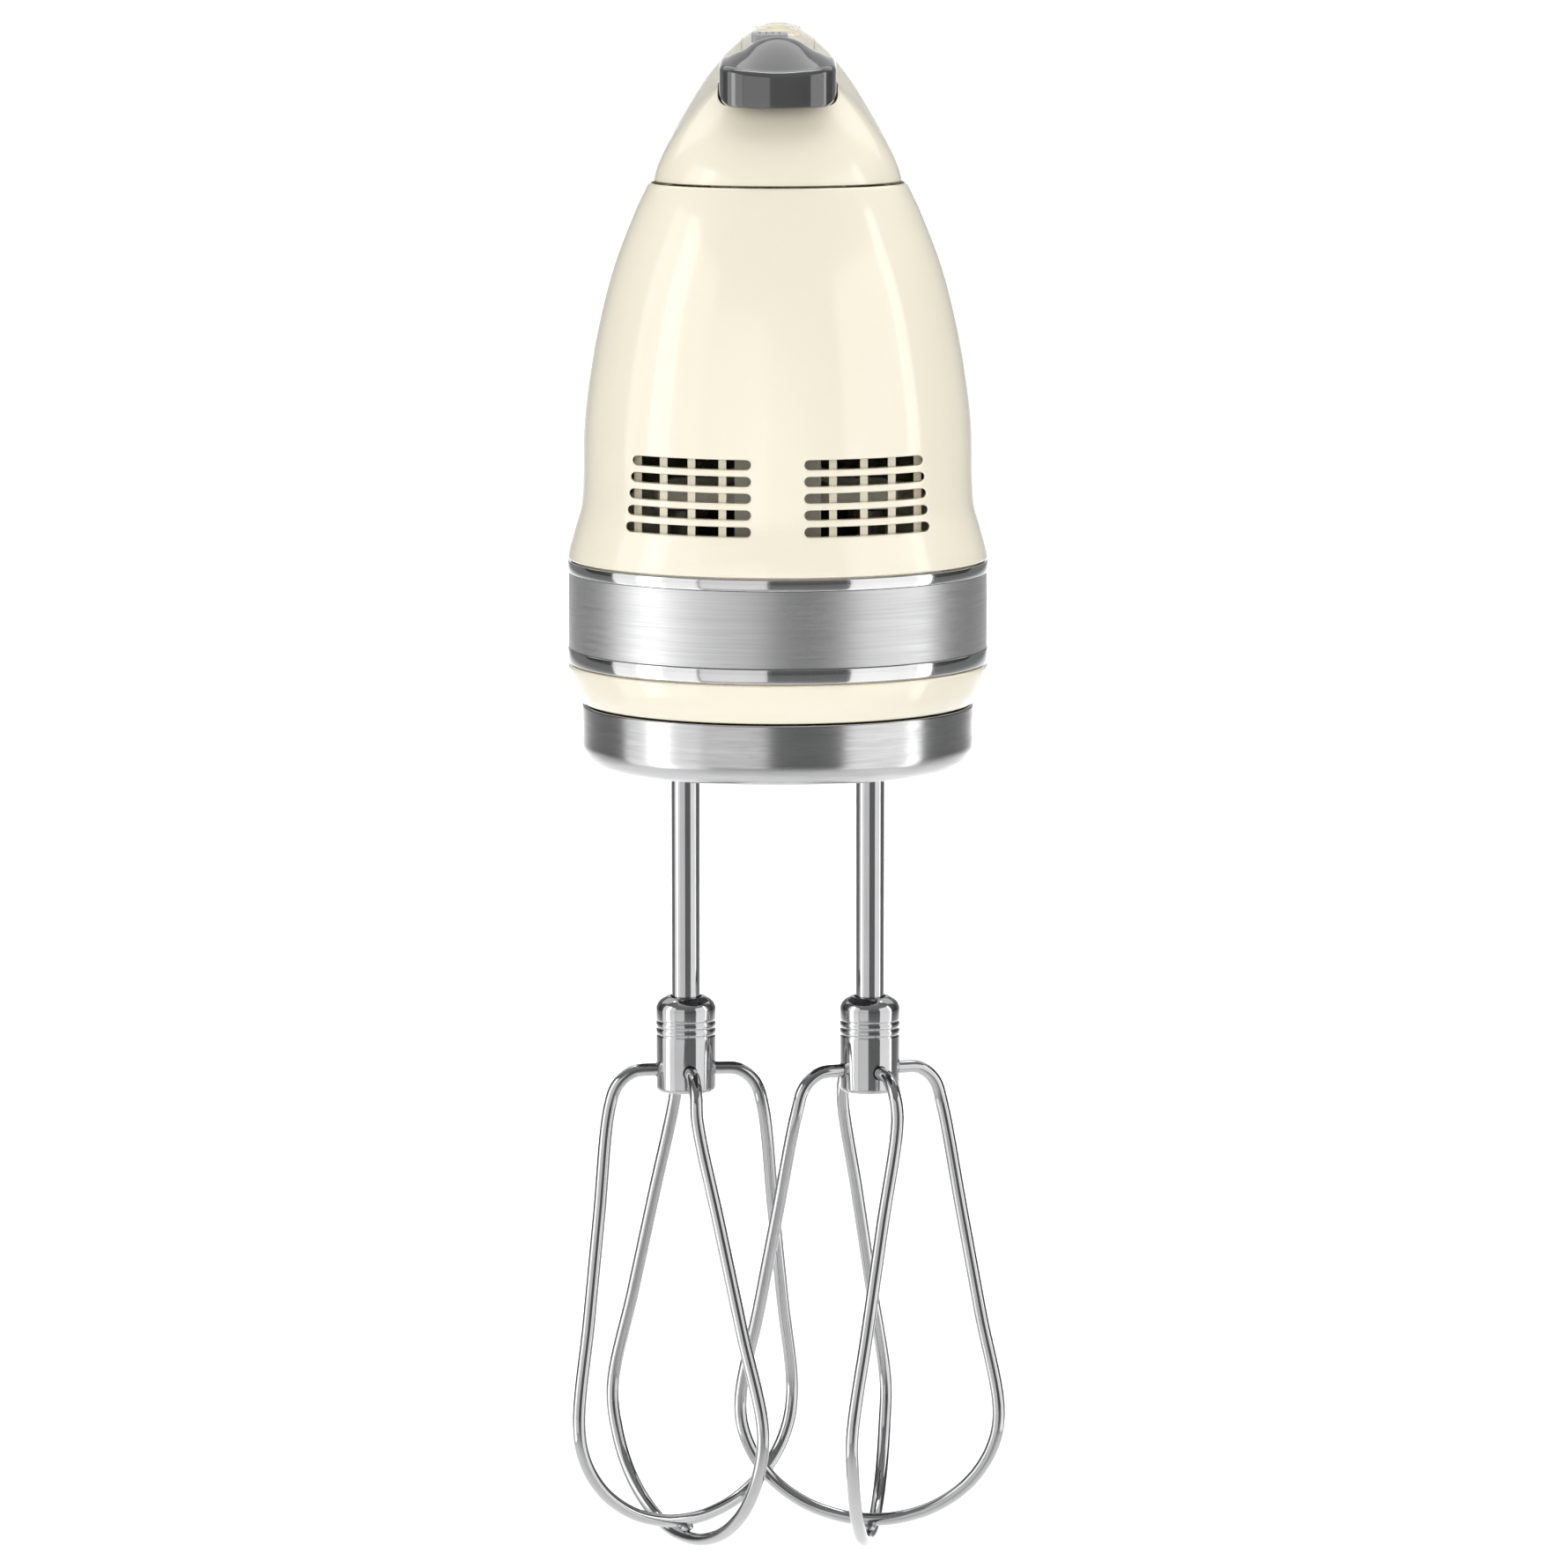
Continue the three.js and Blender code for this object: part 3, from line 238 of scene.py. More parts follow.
def subdivided(flat, step):
    """A closed outline with points along its straight edges, so that it can follow a surface."""
    dense = []
    for a, b in zip(flat, np.roll(flat, -1, axis=0)):
        count = max(1, int(np.linalg.norm(b - a) / step))
        dense.extend(a + (b - a) * i / count for i in range(count))
    return np.array(dense)


def grown(flat, by):
    """A closed outline moved outwards by a distance."""
    before, after = np.roll(flat, 1, axis=0), np.roll(flat, -1, axis=0)
    along = after - before
    normal = np.stack([along[:, 1], -along[:, 0]], 1)
    normal /= np.linalg.norm(normal, axis=1)[:, None]
    area = np.sum(flat[:, 0] * after[:, 1] - after[:, 0] * flat[:, 1])
    return flat + normal * by * (1 if area > 0 else -1)


# ---------- meshes ----------


def in_scene(name, data):
    obj = bpy.data.objects.new(name, data)
    bpy.context.scene.collection.objects.link(obj)
    return obj


def new_object(name, vertices, faces):
    """An object from points in the mixer's own millimetres."""
    points = np.asarray(vertices, float) * MM + ORIGIN
    mesh = bpy.data.meshes.new(name)
    mesh.from_pydata(points.tolist(), [], [list(f) for f in faces])
    mesh.validate()
    obj = in_scene(name, mesh)
    face_outward(obj)
    return obj


def face_outward(obj):
    """Merges doubled points and turns every face outwards."""
    bm = bmesh.new()
    bm.from_mesh(obj.data)
    bmesh.ops.remove_doubles(bm, verts=bm.verts, dist=1e-7)
    bmesh.ops.dissolve_degenerate(bm, edges=bm.edges, dist=1e-8)
    bmesh.ops.recalc_face_normals(bm, faces=bm.faces)
    bm.to_mesh(obj.data)
    bm.free()


def skin(rows, closed_profile=False):
    """Points and faces through closed rings of equal length, with flat caps or joined ends."""
    n = len(rows[0])
    faces = []
    for j in range(len(rows) if closed_profile else len(rows) - 1):
        a, b = j * n, (j + 1) % len(rows) * n
        for i in range(n):
            k = (i + 1) % n
            faces.append((a + i, a + k, b + k, b + i))
    if not closed_profile:
        faces.append(tuple(range(n)))
        faces.append(tuple(range((len(rows) - 1) * n, len(rows) * n)))
    return np.concatenate(rows), faces


def solid(name, rows):
    return new_object(name, *skin(rows))


def lathe(name, profile, centre, axis="z", segments=64):
    """A turned solid from (radius, height) points, which start and end close to the axis."""
    points, faces = skin([lifted(circle(0, 0, r, segments), height) for r, height in profile])
    if axis == "y":
        points = points[:, [0, 2, 1]] * [1, 1, -1]
    return new_object(name, points + np.array(centre), faces)


def prism(name, flat, axis, start, end):
    """A prism of a closed 2-D outline. Along x it is (y, z), along y (x, z), along z (x, y)."""
    flat, column = np.asarray(flat, float), "xyz".index(axis)
    return solid(name, [np.insert(flat, column, at, axis=1) for at in (start, end)])


def punch(obj, flat, axis, start, end):
    """Cuts a prism out of an object."""
    return cut(obj, prism("cutter", flat, axis, start, end))


def bore(obj, x, y, radius, z0, z1, segments=40):
    return punch(obj, circle(x, y, radius, segments), "z", z0, z1)


def tube(points, radius, sides):
    """Points and faces of a round wire along a line, with rounded ends."""
    points = np.asarray(points, float)
    tangents = np.gradient(points, axis=0)
    tangents /= np.linalg.norm(tangents, axis=1)[:, None]
    side = np.cross(tangents[0], [0.3, 0.5, 0.8])
    side /= np.linalg.norm(side)
    turn = np.linspace(0, 2 * math.pi, sides, endpoint=False)
    rows = []
    for i, (point, tangent) in enumerate(zip(points, tangents)):
        side = side - tangent * np.dot(side, tangent)
        side /= np.linalg.norm(side)
        other = np.cross(tangent, side)
        r = radius * (0.75 if i in (0, len(points) - 1) else 1)
        rows.append(point + r * (np.cos(turn)[:, None] * side + np.sin(turn)[:, None] * other))
    return skin(rows)


# ---------- mesh work ----------


def apply_modifiers(obj):
    bpy.context.view_layer.update()
    graph = bpy.context.evaluated_depsgraph_get()
    mesh = bpy.data.meshes.new_from_object(obj.evaluated_get(graph))
    old = obj.data
    obj.modifiers.clear()
    obj.data = mesh
    bpy.data.meshes.remove(old)


def combine(obj, other, operation):
    """Cuts, joins or intersects with another object, which is used up."""
    modifier = obj.modifiers.new("boolean", "BOOLEAN")
    modifier.operation, modifier.object, modifier.solver = operation, other, "MANIFOLD"
    apply_modifiers(obj)
    bpy.data.objects.remove(other)


def cut(obj, other):
    combine(obj, other, "DIFFERENCE")
    return obj


def join(obj, other):
    combine(obj, other, "UNION")


def merge_meshes(name, parts):
    """One object from separate (points, faces) lists, in the mixer's own millimetres."""
    points, faces, offset = [], [], 0
    for p, f in parts:
        points.append(p)
        faces.extend([tuple(i + offset for i in face) for face in f])
        offset += len(p)
    return new_object(name, np.concatenate(points), faces)


def drop_flat_cap(obj, height):
    """Opens a closed solid by removing the flat faces that lie at a height."""
    level = height * MM + ORIGIN[2]
    bm = bmesh.new()
    bm.from_mesh(obj.data)
    flat = [f for f in bm.faces if all(abs(v.co.z - level) < 2e-6 for v in f.verts)]
    bmesh.ops.delete(bm, geom=flat, context="FACES")
    bm.to_mesh(obj.data)
    bm.free()


def thicken(obj, thickness):
    """Gives an open skin a wall on its inner side."""
    modifier = obj.modifiers.new("wall", "SOLIDIFY")
    modifier.thickness, modifier.offset = thickness * MM, -1
    apply_modifiers(obj)


def soften_edges(obj, width, segments):
    modifier = obj.modifiers.new("edges", "BEVEL")
    modifier.width, modifier.segments = width * MM, segments
    modifier.limit_method, modifier.angle_limit = "ANGLE", math.radians(35)
    apply_modifiers(obj)


def melt(obj, voxel, smooth):
    """Rounds a solid's edges: an even fine mesh, smoothed a number of times."""
    modifier = obj.modifiers.new("remesh", "REMESH")
    modifier.mode, modifier.voxel_size = "VOXEL", voxel * MM
    modifier = obj.modifiers.new("smooth", "SMOOTH")
    modifier.factor, modifier.iterations = 0.5, smooth
    apply_modifiers(obj)


def shade(obj, angle=30):
    """Smooth shading in which a large face keeps its own direction next to a narrow round edge."""
    obj.data.shade_smooth()
    obj.data.set_sharp_from_angle(angle=math.radians(angle))
    modifier = obj.modifiers.new("normals", "WEIGHTED_NORMAL")
    modifier.keep_sharp, modifier.weight = True, 60
    apply_modifiers(obj)


def paint(obj, material):
    obj.data.materials.clear()
    obj.data.materials.append(MATERIALS[material])


def finish_piece(obj, body, slot, *nodes, angle=30, material=None):
    """Gives a piece its material, smooth shading and its body, and hides the CAD nodes that it stands for."""
    paint(obj, material or slot)
    shade(obj, angle)
    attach(obj, body)
    if nodes:
        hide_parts(*nodes)


# ---------- materials ----------


def set_inputs(node, **values):
    for key, value in values.items():
        node.inputs[key.replace("_", " ")].default_value = value


def map_range(tree, value, span, result):
    """A value that changes evenly from one result to another over a span."""
    node = tree.nodes.new("ShaderNodeMapRange")
    set_inputs(node, From_Min=span[0], From_Max=span[1], To_Min=result[0], To_Max=result[1])
    tree.links.new(value, node.inputs["Value"])
    return node.outputs["Result"]


class Nodes:
    """Short names for building one material's node tree."""

    def __init__(self, name):
        self.material = bpy.data.materials.new(name)
        self.material.use_nodes = True
        self.tree = self.material.node_tree
        self.shader = self.tree.nodes["Principled BSDF"]
        self.coordinates = self.add("ShaderNodeTexCoord").outputs["Object"]

    def add(self, kind, **values):
        node = self.tree.nodes.new(kind)
        for key, value in values.items():
            setattr(node, key, value)
        return node

    def link(self, source, target):
        self.tree.links.new(source, target)

    def noise(self, scale, detail=3.0, stretch=(1, 1, 1), roughness=0.55):
        mapping = self.add("ShaderNodeMapping")
        set_inputs(mapping, Scale=stretch)
        self.link(self.coordinates, mapping.inputs["Vector"])
        noise = self.add("ShaderNodeTexNoise")
        set_inputs(noise, Scale=scale, Detail=detail, Roughness=roughness)
        self.link(mapping.outputs["Vector"], noise.inputs["Vector"])
        return noise.outputs["Fac"]

    def spread(self, value, low, high, start=0.3, end=0.7):
        return map_range(self.tree, value, (start, end), (low, high))

    def blend(self, value, first, second):
        node = self.add("ShaderNodeMix", data_type="RGBA")
        self.link(value, node.inputs[0])
        for socket, colour in ((node.inputs[6], first), (node.inputs[7], second)):
            if isinstance(colour, tuple):
                socket.default_value = (*colour, 1)
            else:
                self.link(colour, socket)
        return node.outputs[2]

    def bump(self, value, distance, strength=1.0, before=None):
        node = self.add("ShaderNodeBump")
        set_inputs(node, Strength=strength, Distance=distance * MM)
        self.link(value, node.inputs["Height"])
        if before is not None:
            self.link(before, node.inputs["Normal"])
        return node.outputs["Normal"]

    def cells(self, scale, **values):
        node = self.add("ShaderNodeTexVoronoi", **values)
        set_inputs(node, Scale=scale)
        self.link(self.coordinates, node.inputs["Vector"])
        return node.outputs["Distance"]

    def finished(self, colour, roughness, normal):
        outputs = {"Base Color": colour, "Roughness": roughness, "Normal": normal}
        for name, output in outputs.items():
            self.link(output, self.shader.inputs[name])
        return self.material


def tint(colour, share):
    return tuple(min(1.0, c * share) for c in colour)


def moulded(name, colour, rough, grain, grain_depth, coat=0.0, speckle=0.06, specular=0.5):
    """Moulded plastic or rubber: faint colour drift, uneven gloss and a fine surface grain."""
    n = Nodes(name)
    set_inputs(n.shader, Metallic=0.0, Coat_Weight=coat, Coat_Roughness=0.04,
               Specular_IOR_Level=specular)
    drift = n.noise(28, 2)
    fine = n.noise(grain, 3)
    tone = n.blend(n.spread(drift, 0, 1), tint(colour, 1 - speckle), tint(colour, 1 + speckle))
    return n.finished(tone, n.spread(fine, rough * 0.85, rough * 1.2), n.bump(fine, grain_depth))


def cream_material(name):
    n = Nodes(name)
    set_inputs(n.shader, Metallic=0.0, Coat_Weight=0.6, Coat_Roughness=0.03)
    drift = n.noise(14, 3)
    flecks = n.noise(2600, 2)
    base = n.blend(n.spread(drift, 0, 1), (0.915, 0.85, 0.69), (0.93, 0.87, 0.715))
    tone = n.blend(n.spread(flecks, 0, 0.35, 0.6, 0.8), base, (0.86, 0.785, 0.6))
    peel = n.bump(n.noise(260, 2), 0.006)
    gloss = n.spread(n.noise(90, 3), 0.12, 0.17)
    return n.finished(tone, gloss, n.bump(flecks, 0.0008, 1.0, peel))


def brushed_material(name, colour, stretch, rough, depth=0.012):
    """Metal brushed in one direction: fine streaks in colour, gloss and relief."""
    n = Nodes(name)
    set_inputs(n.shader, Metallic=1.0)
    fine = n.noise(1.0, 4, stretch, 0.7)
    broad = n.noise(0.22, 3, stretch, 0.6)
    streaks = n.spread(fine, 0, 1, 0.35, 0.65)
    tone = n.blend(n.spread(broad, 0, 1), tint(colour, 0.93), tint(colour, 1.05))
    gloss = n.spread(fine, rough * 0.8, rough * 1.25)
    return n.finished(n.blend(streaks, tone, tint(colour, 0.84)), gloss, n.bump(fine, depth, 0.5))


def polished_material(name, colour, rough):
    """Bright plated metal: faint smears, hairlines and a trace of uneven plating."""
    n = Nodes(name)
    set_inputs(n.shader, Metallic=1.0)
    smears = n.noise(120, 4)
    hairlines = n.noise(5200, 2, (1, 1, 0.05))
    tone = n.blend(n.spread(smears, 0, 1), tint(colour, 0.95), tint(colour, 1.03))
    gloss = n.spread(hairlines, rough * 0.6, rough * 1.6)
    return n.finished(tone, gloss, n.bump(smears, 0.004, 0.6))


def sintered_material(name, colour, dark, metal, rough, scale):
    """Pressed and sintered metal, ferrite or carbon: visible grains and small pores."""
    n = Nodes(name)
    set_inputs(n.shader, Metallic=metal)
    grains = n.spread(n.cells(scale), 0, 1, 0.1, 0.7)
    gloss = n.spread(n.noise(scale * 0.4, 3), rough * 0.85, rough * 1.15)
    return n.finished(n.blend(grains, dark, colour), gloss, n.bump(grains, 0.02, 0.6))


def banded_material(name, colour, dark, pitch, metal, rough):
    """Wound wire: fine parallel bands along the motor with a slightly uneven lacquer."""
    n = Nodes(name)
    set_inputs(n.shader, Metallic=metal)
    wave = n.add("ShaderNodeTexWave", bands_direction="Y")
    set_inputs(wave, Scale=1 / (pitch * MM) / 3.2, Distortion=0.6)
    n.link(n.coordinates, wave.inputs["Vector"])
    bands = n.spread(wave.outputs["Fac"], 0, 1, 0.2, 0.8)
    gloss = n.spread(n.noise(400, 3), rough * 0.8, rough * 1.2)
    return n.finished(n.blend(bands, dark, colour), gloss, n.bump(bands, 0.05, 0.6))


def board_material(name):
    """A lacquered circuit board with generic copper tracks under the lacquer."""
    n = Nodes(name)
    set_inputs(n.shader, Metallic=0.0, Coat_Weight=0.4)
    cells = n.cells(260, distance="CHEBYCHEV", feature="F1")
    tracks = n.spread(cells, 0, 1, 0.42, 0.5)
    tone = n.blend(tracks, (0.012, 0.13, 0.05), (0.05, 0.26, 0.1))
    return n.finished(tone, n.spread(n.noise(300, 3), 0.3, 0.45), n.bump(tracks, 0.03, 0.5))


MATERIALS = {name: make(name, *values) for name, make, *values in (
    ("cream_gloss", cream_material),
    ("brushed_band", brushed_material, (0.66, 0.66, 0.665), (40, 40, 5200), 0.38, 0.006),
    ("polished_rim", polished_material, (0.72, 0.72, 0.725), 0.08),
    ("satin_skirt", brushed_material, (0.6, 0.6, 0.605), (60, 60, 900), 0.2, 0.002),
    ("motor_steel", brushed_material, (0.56, 0.565, 0.57), (900, 40, 900), 0.34),
    ("chrome_wire", polished_material, (0.53, 0.53, 0.535), 0.07),
    ("plain_steel", brushed_material, (0.52, 0.52, 0.53), (1400, 1400, 4000), 0.3),
    ("dark_grey_gloss", moulded, (0.058, 0.058, 0.06), 0.1, 700, 0.001, 1.0, 0.06, 0.9),
    ("silver_grey_gloss", moulded, (0.34, 0.34, 0.36), 0.2, 900, 0.002, 0.5),
    ("black_plastic", moulded, (0.016, 0.016, 0.018), 0.45, 1500, 0.02, 0, 0.15),
    ("display_window", moulded, (0.006, 0.007, 0.009), 0.07, 300, 0.001, 0.6, 0.2),
    ("grey_rubber", moulded, (0.035, 0.035, 0.037), 0.62, 2200, 0.03, 0, 0.15),
    ("off_white_frame", moulded, (0.72, 0.68, 0.58), 0.42, 1200, 0.015),
    ("nylon_natural", moulded, (0.78, 0.73, 0.6), 0.38, 1600, 0.01),
    ("sintered_bronze", sintered_material, (0.55, 0.38, 0.14), (0.26, 0.17, 0.06), 1.0, 0.4, 2600),
    ("copper_winding", banded_material, (0.62, 0.26, 0.1), (0.22, 0.07, 0.03), 0.5, 0.9, 0.3),
    ("ferrite_magnet", sintered_material, (0.035, 0.035, 0.04), (0.012, 0.012, 0.014), 0.0, 0.6,
     3000),
    ("graphite_brush", sintered_material, (0.03, 0.03, 0.034), (0.01, 0.01, 0.012), 0.2, 0.5,
     4200),
    ("circuit_board", board_material),
)}


def dress_cad_nodes():
    """Each CAD node takes the material of its slot in the record."""
    for part in frame["record"]["subparts"]:
        paint(frame["nodes"][part["node"]], part["material_slot"])


# ---------- fillets that follow a surface ----------


def surface_of(obj):
    bpy.context.view_layer.update()
    mesh = obj.data
    points = [v.co for v in mesh.vertices]
    return BVHTree.FromPolygons(points, [p.vertices for p in mesh.polygons])


def ray_height(tree, start, direction):
    """Where a line meets a surface, in the mixer's own millimetres."""
    origin = Vector(np.asarray(start, float) * MM + ORIGIN)
    return (np.array(tree.ray_cast(origin, Vector(direction))[0]) - ORIGIN) / MM


FILLET_STEPS = 6


def fillet_rings(radius):
    """(growth, depth) pairs of a round edge: outside the surface first, then round and down."""
    rings = [(radius + 0.25, -1.0)]
    for i in range(FILLET_STEPS + 1):
        turn = math.pi / 2 * i / FILLET_STEPS
        rings.append((radius * (1 - math.sin(turn)), radius * (1 - math.cos(turn))))
    return rings


def pocket_cutter(tree, flat, radius, floor, axis):
    """Points and faces of a pocket with round edges where it meets a surface.

    The outline is (x, z) for a pocket cut from the front along y, and (x, y) for one from above.
    The floor is a y value from the front, and a z value from above.
    """
    column, inwards, outside, lid_at = {"y": (1, 1, -200, -80), "z": (2, -1, 400, 200)}[axis]
    direction = inwards * np.eye(3)[column]
    rows = []
    for growth, depth in fillet_rings(radius):
        row = np.insert(grown(flat, growth), column, outside, axis=1)
        for point in row:
            point[column] = ray_height(tree, point, direction)[column] + inwards * depth
        rows.append(row)
    lid, last = rows[0].copy(), rows[-1].copy()
    lid[:, column], last[:, column] = lid_at, floor
    return skin([lid, *rows, last])


def finger_gap_cutter(tree, radius):
    """The through opening under the grip, rounded on both sides along the body's surface."""
    flat = rounded([(30, 77, 13), (124, 77, 15), (120, 117, 10), (36, 117, 10)], 14)
    dense = subdivided(flat, 1.2)
    right = [np.column_stack([np.full(len(dense), 70.0), grown(dense, radius + 0.25)])]
    for growth, depth in fillet_rings(radius):
        right.append(np.array([(ray_height(tree, (200, y, z), (-1, 0, 0))[0] - depth, y, z)
                               for y, z in grown(dense, growth)]))
    left = [row * [-1, 1, 1] for row in reversed(right)]
    return solid("cutter", right + left)


# ---------- housings ----------


def edge_rows(z0, z1, radius, step):
    """Heights from z0 to z1 with insets that round both edges of the skin."""
    turn = np.linspace(0, math.pi / 2, 5)
    low = [(z0 + radius * (1 - math.cos(t)), radius * (1 - math.sin(t))) for t in turn]
    high = [(z1 - radius * (1 - math.cos(t)), radius * (1 - math.sin(t))) for t in turn[::-1]]
    count = max(2, int((z1 - z0 - 2 * radius) / step))
    middle = [(z, 0.0) for z in np.linspace(z0 + radius, z1 - radius, count + 1)[1:-1]]
    return low + middle + high


HOUSING_WALL = 2.2
RING_WALL = 2.4
GRIP_EDGE = 3.2
PAD_CORNER = 4.5
VENT = {"x0": 5.5, "x1": 30.7, "slant": 0.35, "first": 53.0, "pitch": 3.45, "height": 2.05}
VENT_ROWS = 5


def vent_cutter(tree):
    parts = []
    for row in range(VENT_ROWS):
        z = VENT["first"] + row * VENT["pitch"]
        x1 = VENT["x1"] + VENT["slant"] * (2 - row)
        r = VENT["height"] / 2
        turn = np.linspace(-math.pi / 2, math.pi / 2, 9)
        right = [(x1 - r + r * math.cos(t), z + r * math.sin(t)) for t in turn]
        left = [(VENT["x0"] + r - r * math.cos(t), z - r * math.sin(t)) for t in turn]
        low = [(x, z - r) for x in np.linspace(VENT["x0"] + r, x1 - r, 24)[1:-1]]
        high = [(x, z + r) for x in np.linspace(x1 - r, VENT["x0"] + r, 24)[1:-1]]
        flat = np.array(low + right + high + left)
        for slot in (flat, flat[::-1] * [-1, 1]):
            parts.append(pocket_cutter(tree, slot, 0.4, -20, "y"))
    return merge_meshes("cutter", parts)


def main_housing():
    start = BAND_TOP + GAP
    rows = [ring_at(TONGUE_MEET + GAP / 2, TONGUE_DEPTH, BAND_TOP),
            ring_at(start, TONGUE_DEPTH, BAND_TOP)]
    rows += [ring_at(z, inset) for z, inset in edge_rows(start, SEAM_Z, 0.5, 0.9)]
    body = solid("housing_shell", rows)
    tree = surface_of(body)
    cut(body, finger_gap_cutter(tree, GRIP_EDGE))
    drop_flat_cap(body, SEAM_Z)
    drop_flat_cap(body, TONGUE_MEET + GAP / 2)
    thicken(body, HOUSING_WALL)
    cut(body, vent_cutter(tree))
    low, high = local_box("heel_pad")
    seat = rectangle(low[0] - GAP, high[0] + GAP, low[2] - GAP, high[2] + GAP, PAD_CORNER - GAP)
    middle, radius = local_middle("cord_gland"), local_box("cord_gland")[1][0] + GAP
    hole = circle(middle[0], middle[2], radius)
    punch(body, seat, "y", low[1] - GAP, 175)
    punch(body, hole, "y", 140, 175)
    finish_piece(body, "casing", "cream_gloss", "main_housing")


def lower_ring():
    rim = BAND_BOTTOM - GAP
    rows = [ring_at(z, inset) for z, inset in edge_rows(SKIRT_TOP + GAP, rim, 0.6, 0.7)]
    rows += [ring_at(rim, TONGUE_DEPTH, BAND_TOP),
             ring_at(TONGUE_MEET - GAP / 2, TONGUE_DEPTH, BAND_TOP)]
    body = solid("lower_ring", rows)
    drop_flat_cap(body, SKIRT_TOP + GAP)
    drop_flat_cap(body, TONGUE_MEET - GAP / 2)
    thicken(body, RING_WALL)
    finish_piece(body, "casing", "cream_gloss", "lower_housing")


# ---------- metal band and skirt ----------


def swept(name, profile, shape_z=None):
    """A closed hoop round the body from an (inset, z) profile."""
    rows = [ring_at(z, inset, shape_z) for inset, z in profile]
    return new_object(name, *skin(rows, closed_profile=True))


RIM_HIGH, RIM_LOW = 2.5, 3.2
BRUSHED_DEPTH = 0.28


def rim_profile(z0, z1, depth, crown):
    """A polished rim: a gently crowned face with round edges."""
    middle = [(crown * (2 * t - 1) ** 2, z0 + (z1 - z0) * t) for t in np.linspace(0.08, 0.92, 7)]
    return [(depth, z0), (0.35, z0), (0.12, z0 + 0.1), *middle, (0.12, z1 - 0.1), (0.35, z1),
            (depth, z1)]


def trim_band():
    z0, z1 = BAND_BOTTOM, BAND_TOP
    low, high = z0 + RIM_LOW, z1 - RIM_HIGH
    brushed = [(BRUSHED_DEPTH, low), (BRUSHED_DEPTH, (low + high) / 2), (BRUSHED_DEPTH, high),
               (BAND_THICKNESS, high), (BAND_THICKNESS, low)]
    plate = swept("band_plate", brushed, BAND_TOP)
    finish_piece(plate, "casing", "brushed_band", "trim_band")
    for name, a, b in (("band_rim_low", z0, low - 0.06), ("band_rim_high", high + 0.06, z1)):
        rim = swept(name, rim_profile(a, b, BAND_THICKNESS, 0.1), BAND_TOP)
        finish_piece(rim, "casing", "brushed_band", angle=50, material="polished_rim")


def base_skirt():
    turn = np.linspace(0, math.pi / 2, 12)
    corner = [(SKIRT_CORNER * (1 - math.sin(t)), SKIRT_CORNER * (1 - math.cos(t))) for t in turn]
    profile = [*corner, (0, 8.5), (0, SKIRT_TOP - 0.5), (0.15, SKIRT_TOP - 0.15),
               (0.5, SKIRT_TOP), (6.6, SKIRT_TOP), (7, SKIRT_TOP - 0.4), (7, 0.9), (6.8, 0.3),
               (6.2, 0)]
    hoop = swept("skirt_shell", profile)
    finish_piece(hoop, "casing", "satin_skirt", "base_skirt", angle=50)


# ---------- base plate ----------

PLATE_INSET = 7.3
PORT_RADIUS = 5.4


def base_plate():
    low, high = local_box("base_plate")
    flat = outline(1.2, PLATE_INSET, 180)
    plate = prism("sole_plate", flat, "z", low[2], high[2])
    for y in (42, 56, 70, 84, 98):
        slot = rectangle(-22, 22, y - 1.5, y + 1.5, 1.5)
        punch(plate, slot, "z", low[2] - 1, low[2] + 1.2)
    for side in (-1, 1):
        bore(plate, side * AXIS_X, 0, PORT_RADIUS, low[2] - 1, high[2] + 1)
        bore(plate, side * AXIS_X, 0, 8.4, low[2] - 1, low[2] + 0.9)
    for i in range(1, 5):
        x, y, _ = local_middle(f"base_screw_{i}")
        bore(plate, x, y, 2.9, low[2] - 1, high[2] + 1, 24)
    soften_edges(plate, 0.3, 2)
    finish_piece(plate, "casing", "black_plastic", "base_plate")


# ---------- handle cover ----------

COVER_STEP, COVER_EDGE = 1.1, 0.5


def dome_rows(inset=0.0):
    """Rings of the cover, from its rim to its crest line."""
    flat = outline(SEAM_Z, COVER_STEP + inset)
    base = SEAM_Z + GAP
    y = flat[:, 1]
    spine = np.clip(y, *SPINE)
    roundness = 1.42 + 0.68 * ease(y, -5, 40)
    top = CREST(spine) - inset - base
    rows = []
    for turn in np.linspace(0, math.pi / 2, 64):
        rise = math.sin(turn) ** (2 / roundness)
        spread = np.maximum(math.cos(turn), 0) ** (2 / roundness)
        rows.append(np.column_stack([
            flat[:, 0] * spread, spine + (y - spine) * spread, base + top * rise * 0.995]))
    rows[-1][:, 0] = 0
    return rows


def rim_rounding(rows):
    """Rounds the cover's lower rim with a few rings pulled inwards."""
    base = SEAM_Z + GAP
    rounded_rows = []
    for turn in np.linspace(0, math.pi / 2, 4)[:-1]:
        inset = COVER_EDGE * (1 - math.sin(turn))
        flat = outline(SEAM_Z, COVER_STEP + inset)
        rounded_rows.append(lifted(flat, base + COVER_EDGE * (1 - math.cos(turn))))
    return rounded_rows + [row for row in rows if row[:, 2].min() > base + COVER_EDGE * 0.9]


WELL = {"half": 12.5, "front": -14.3, "back": 3.0, "floor": 129.5}


def well_outline(inset):
    """The button's hole: its front corners fall back, so that the button's nose hides them."""
    half, front, back = WELL["half"] - inset, WELL["front"] + inset, WELL["back"] - inset
    corners = [(-half, front, 8), (half, front, 8), (half, back, 2.4), (-half, back, 2.4)]
    return rounded(corners, 14)


def tilted(points):
    """Turns points drawn round the control panel's middle, with its top at z = 0."""
    x, y, z = points.T
    c, s = math.cos(PANEL_TILT), math.sin(PANEL_TILT)
    return np.column_stack([x, y * c - z * s + PANEL_MIDDLE[0], y * s + z * c + PANEL_MIDDLE[1]])


def tilted_prism(name, flat, z0, z1):
    return solid(name, [tilted(lifted(flat, z)) for z in (z0, z1)])


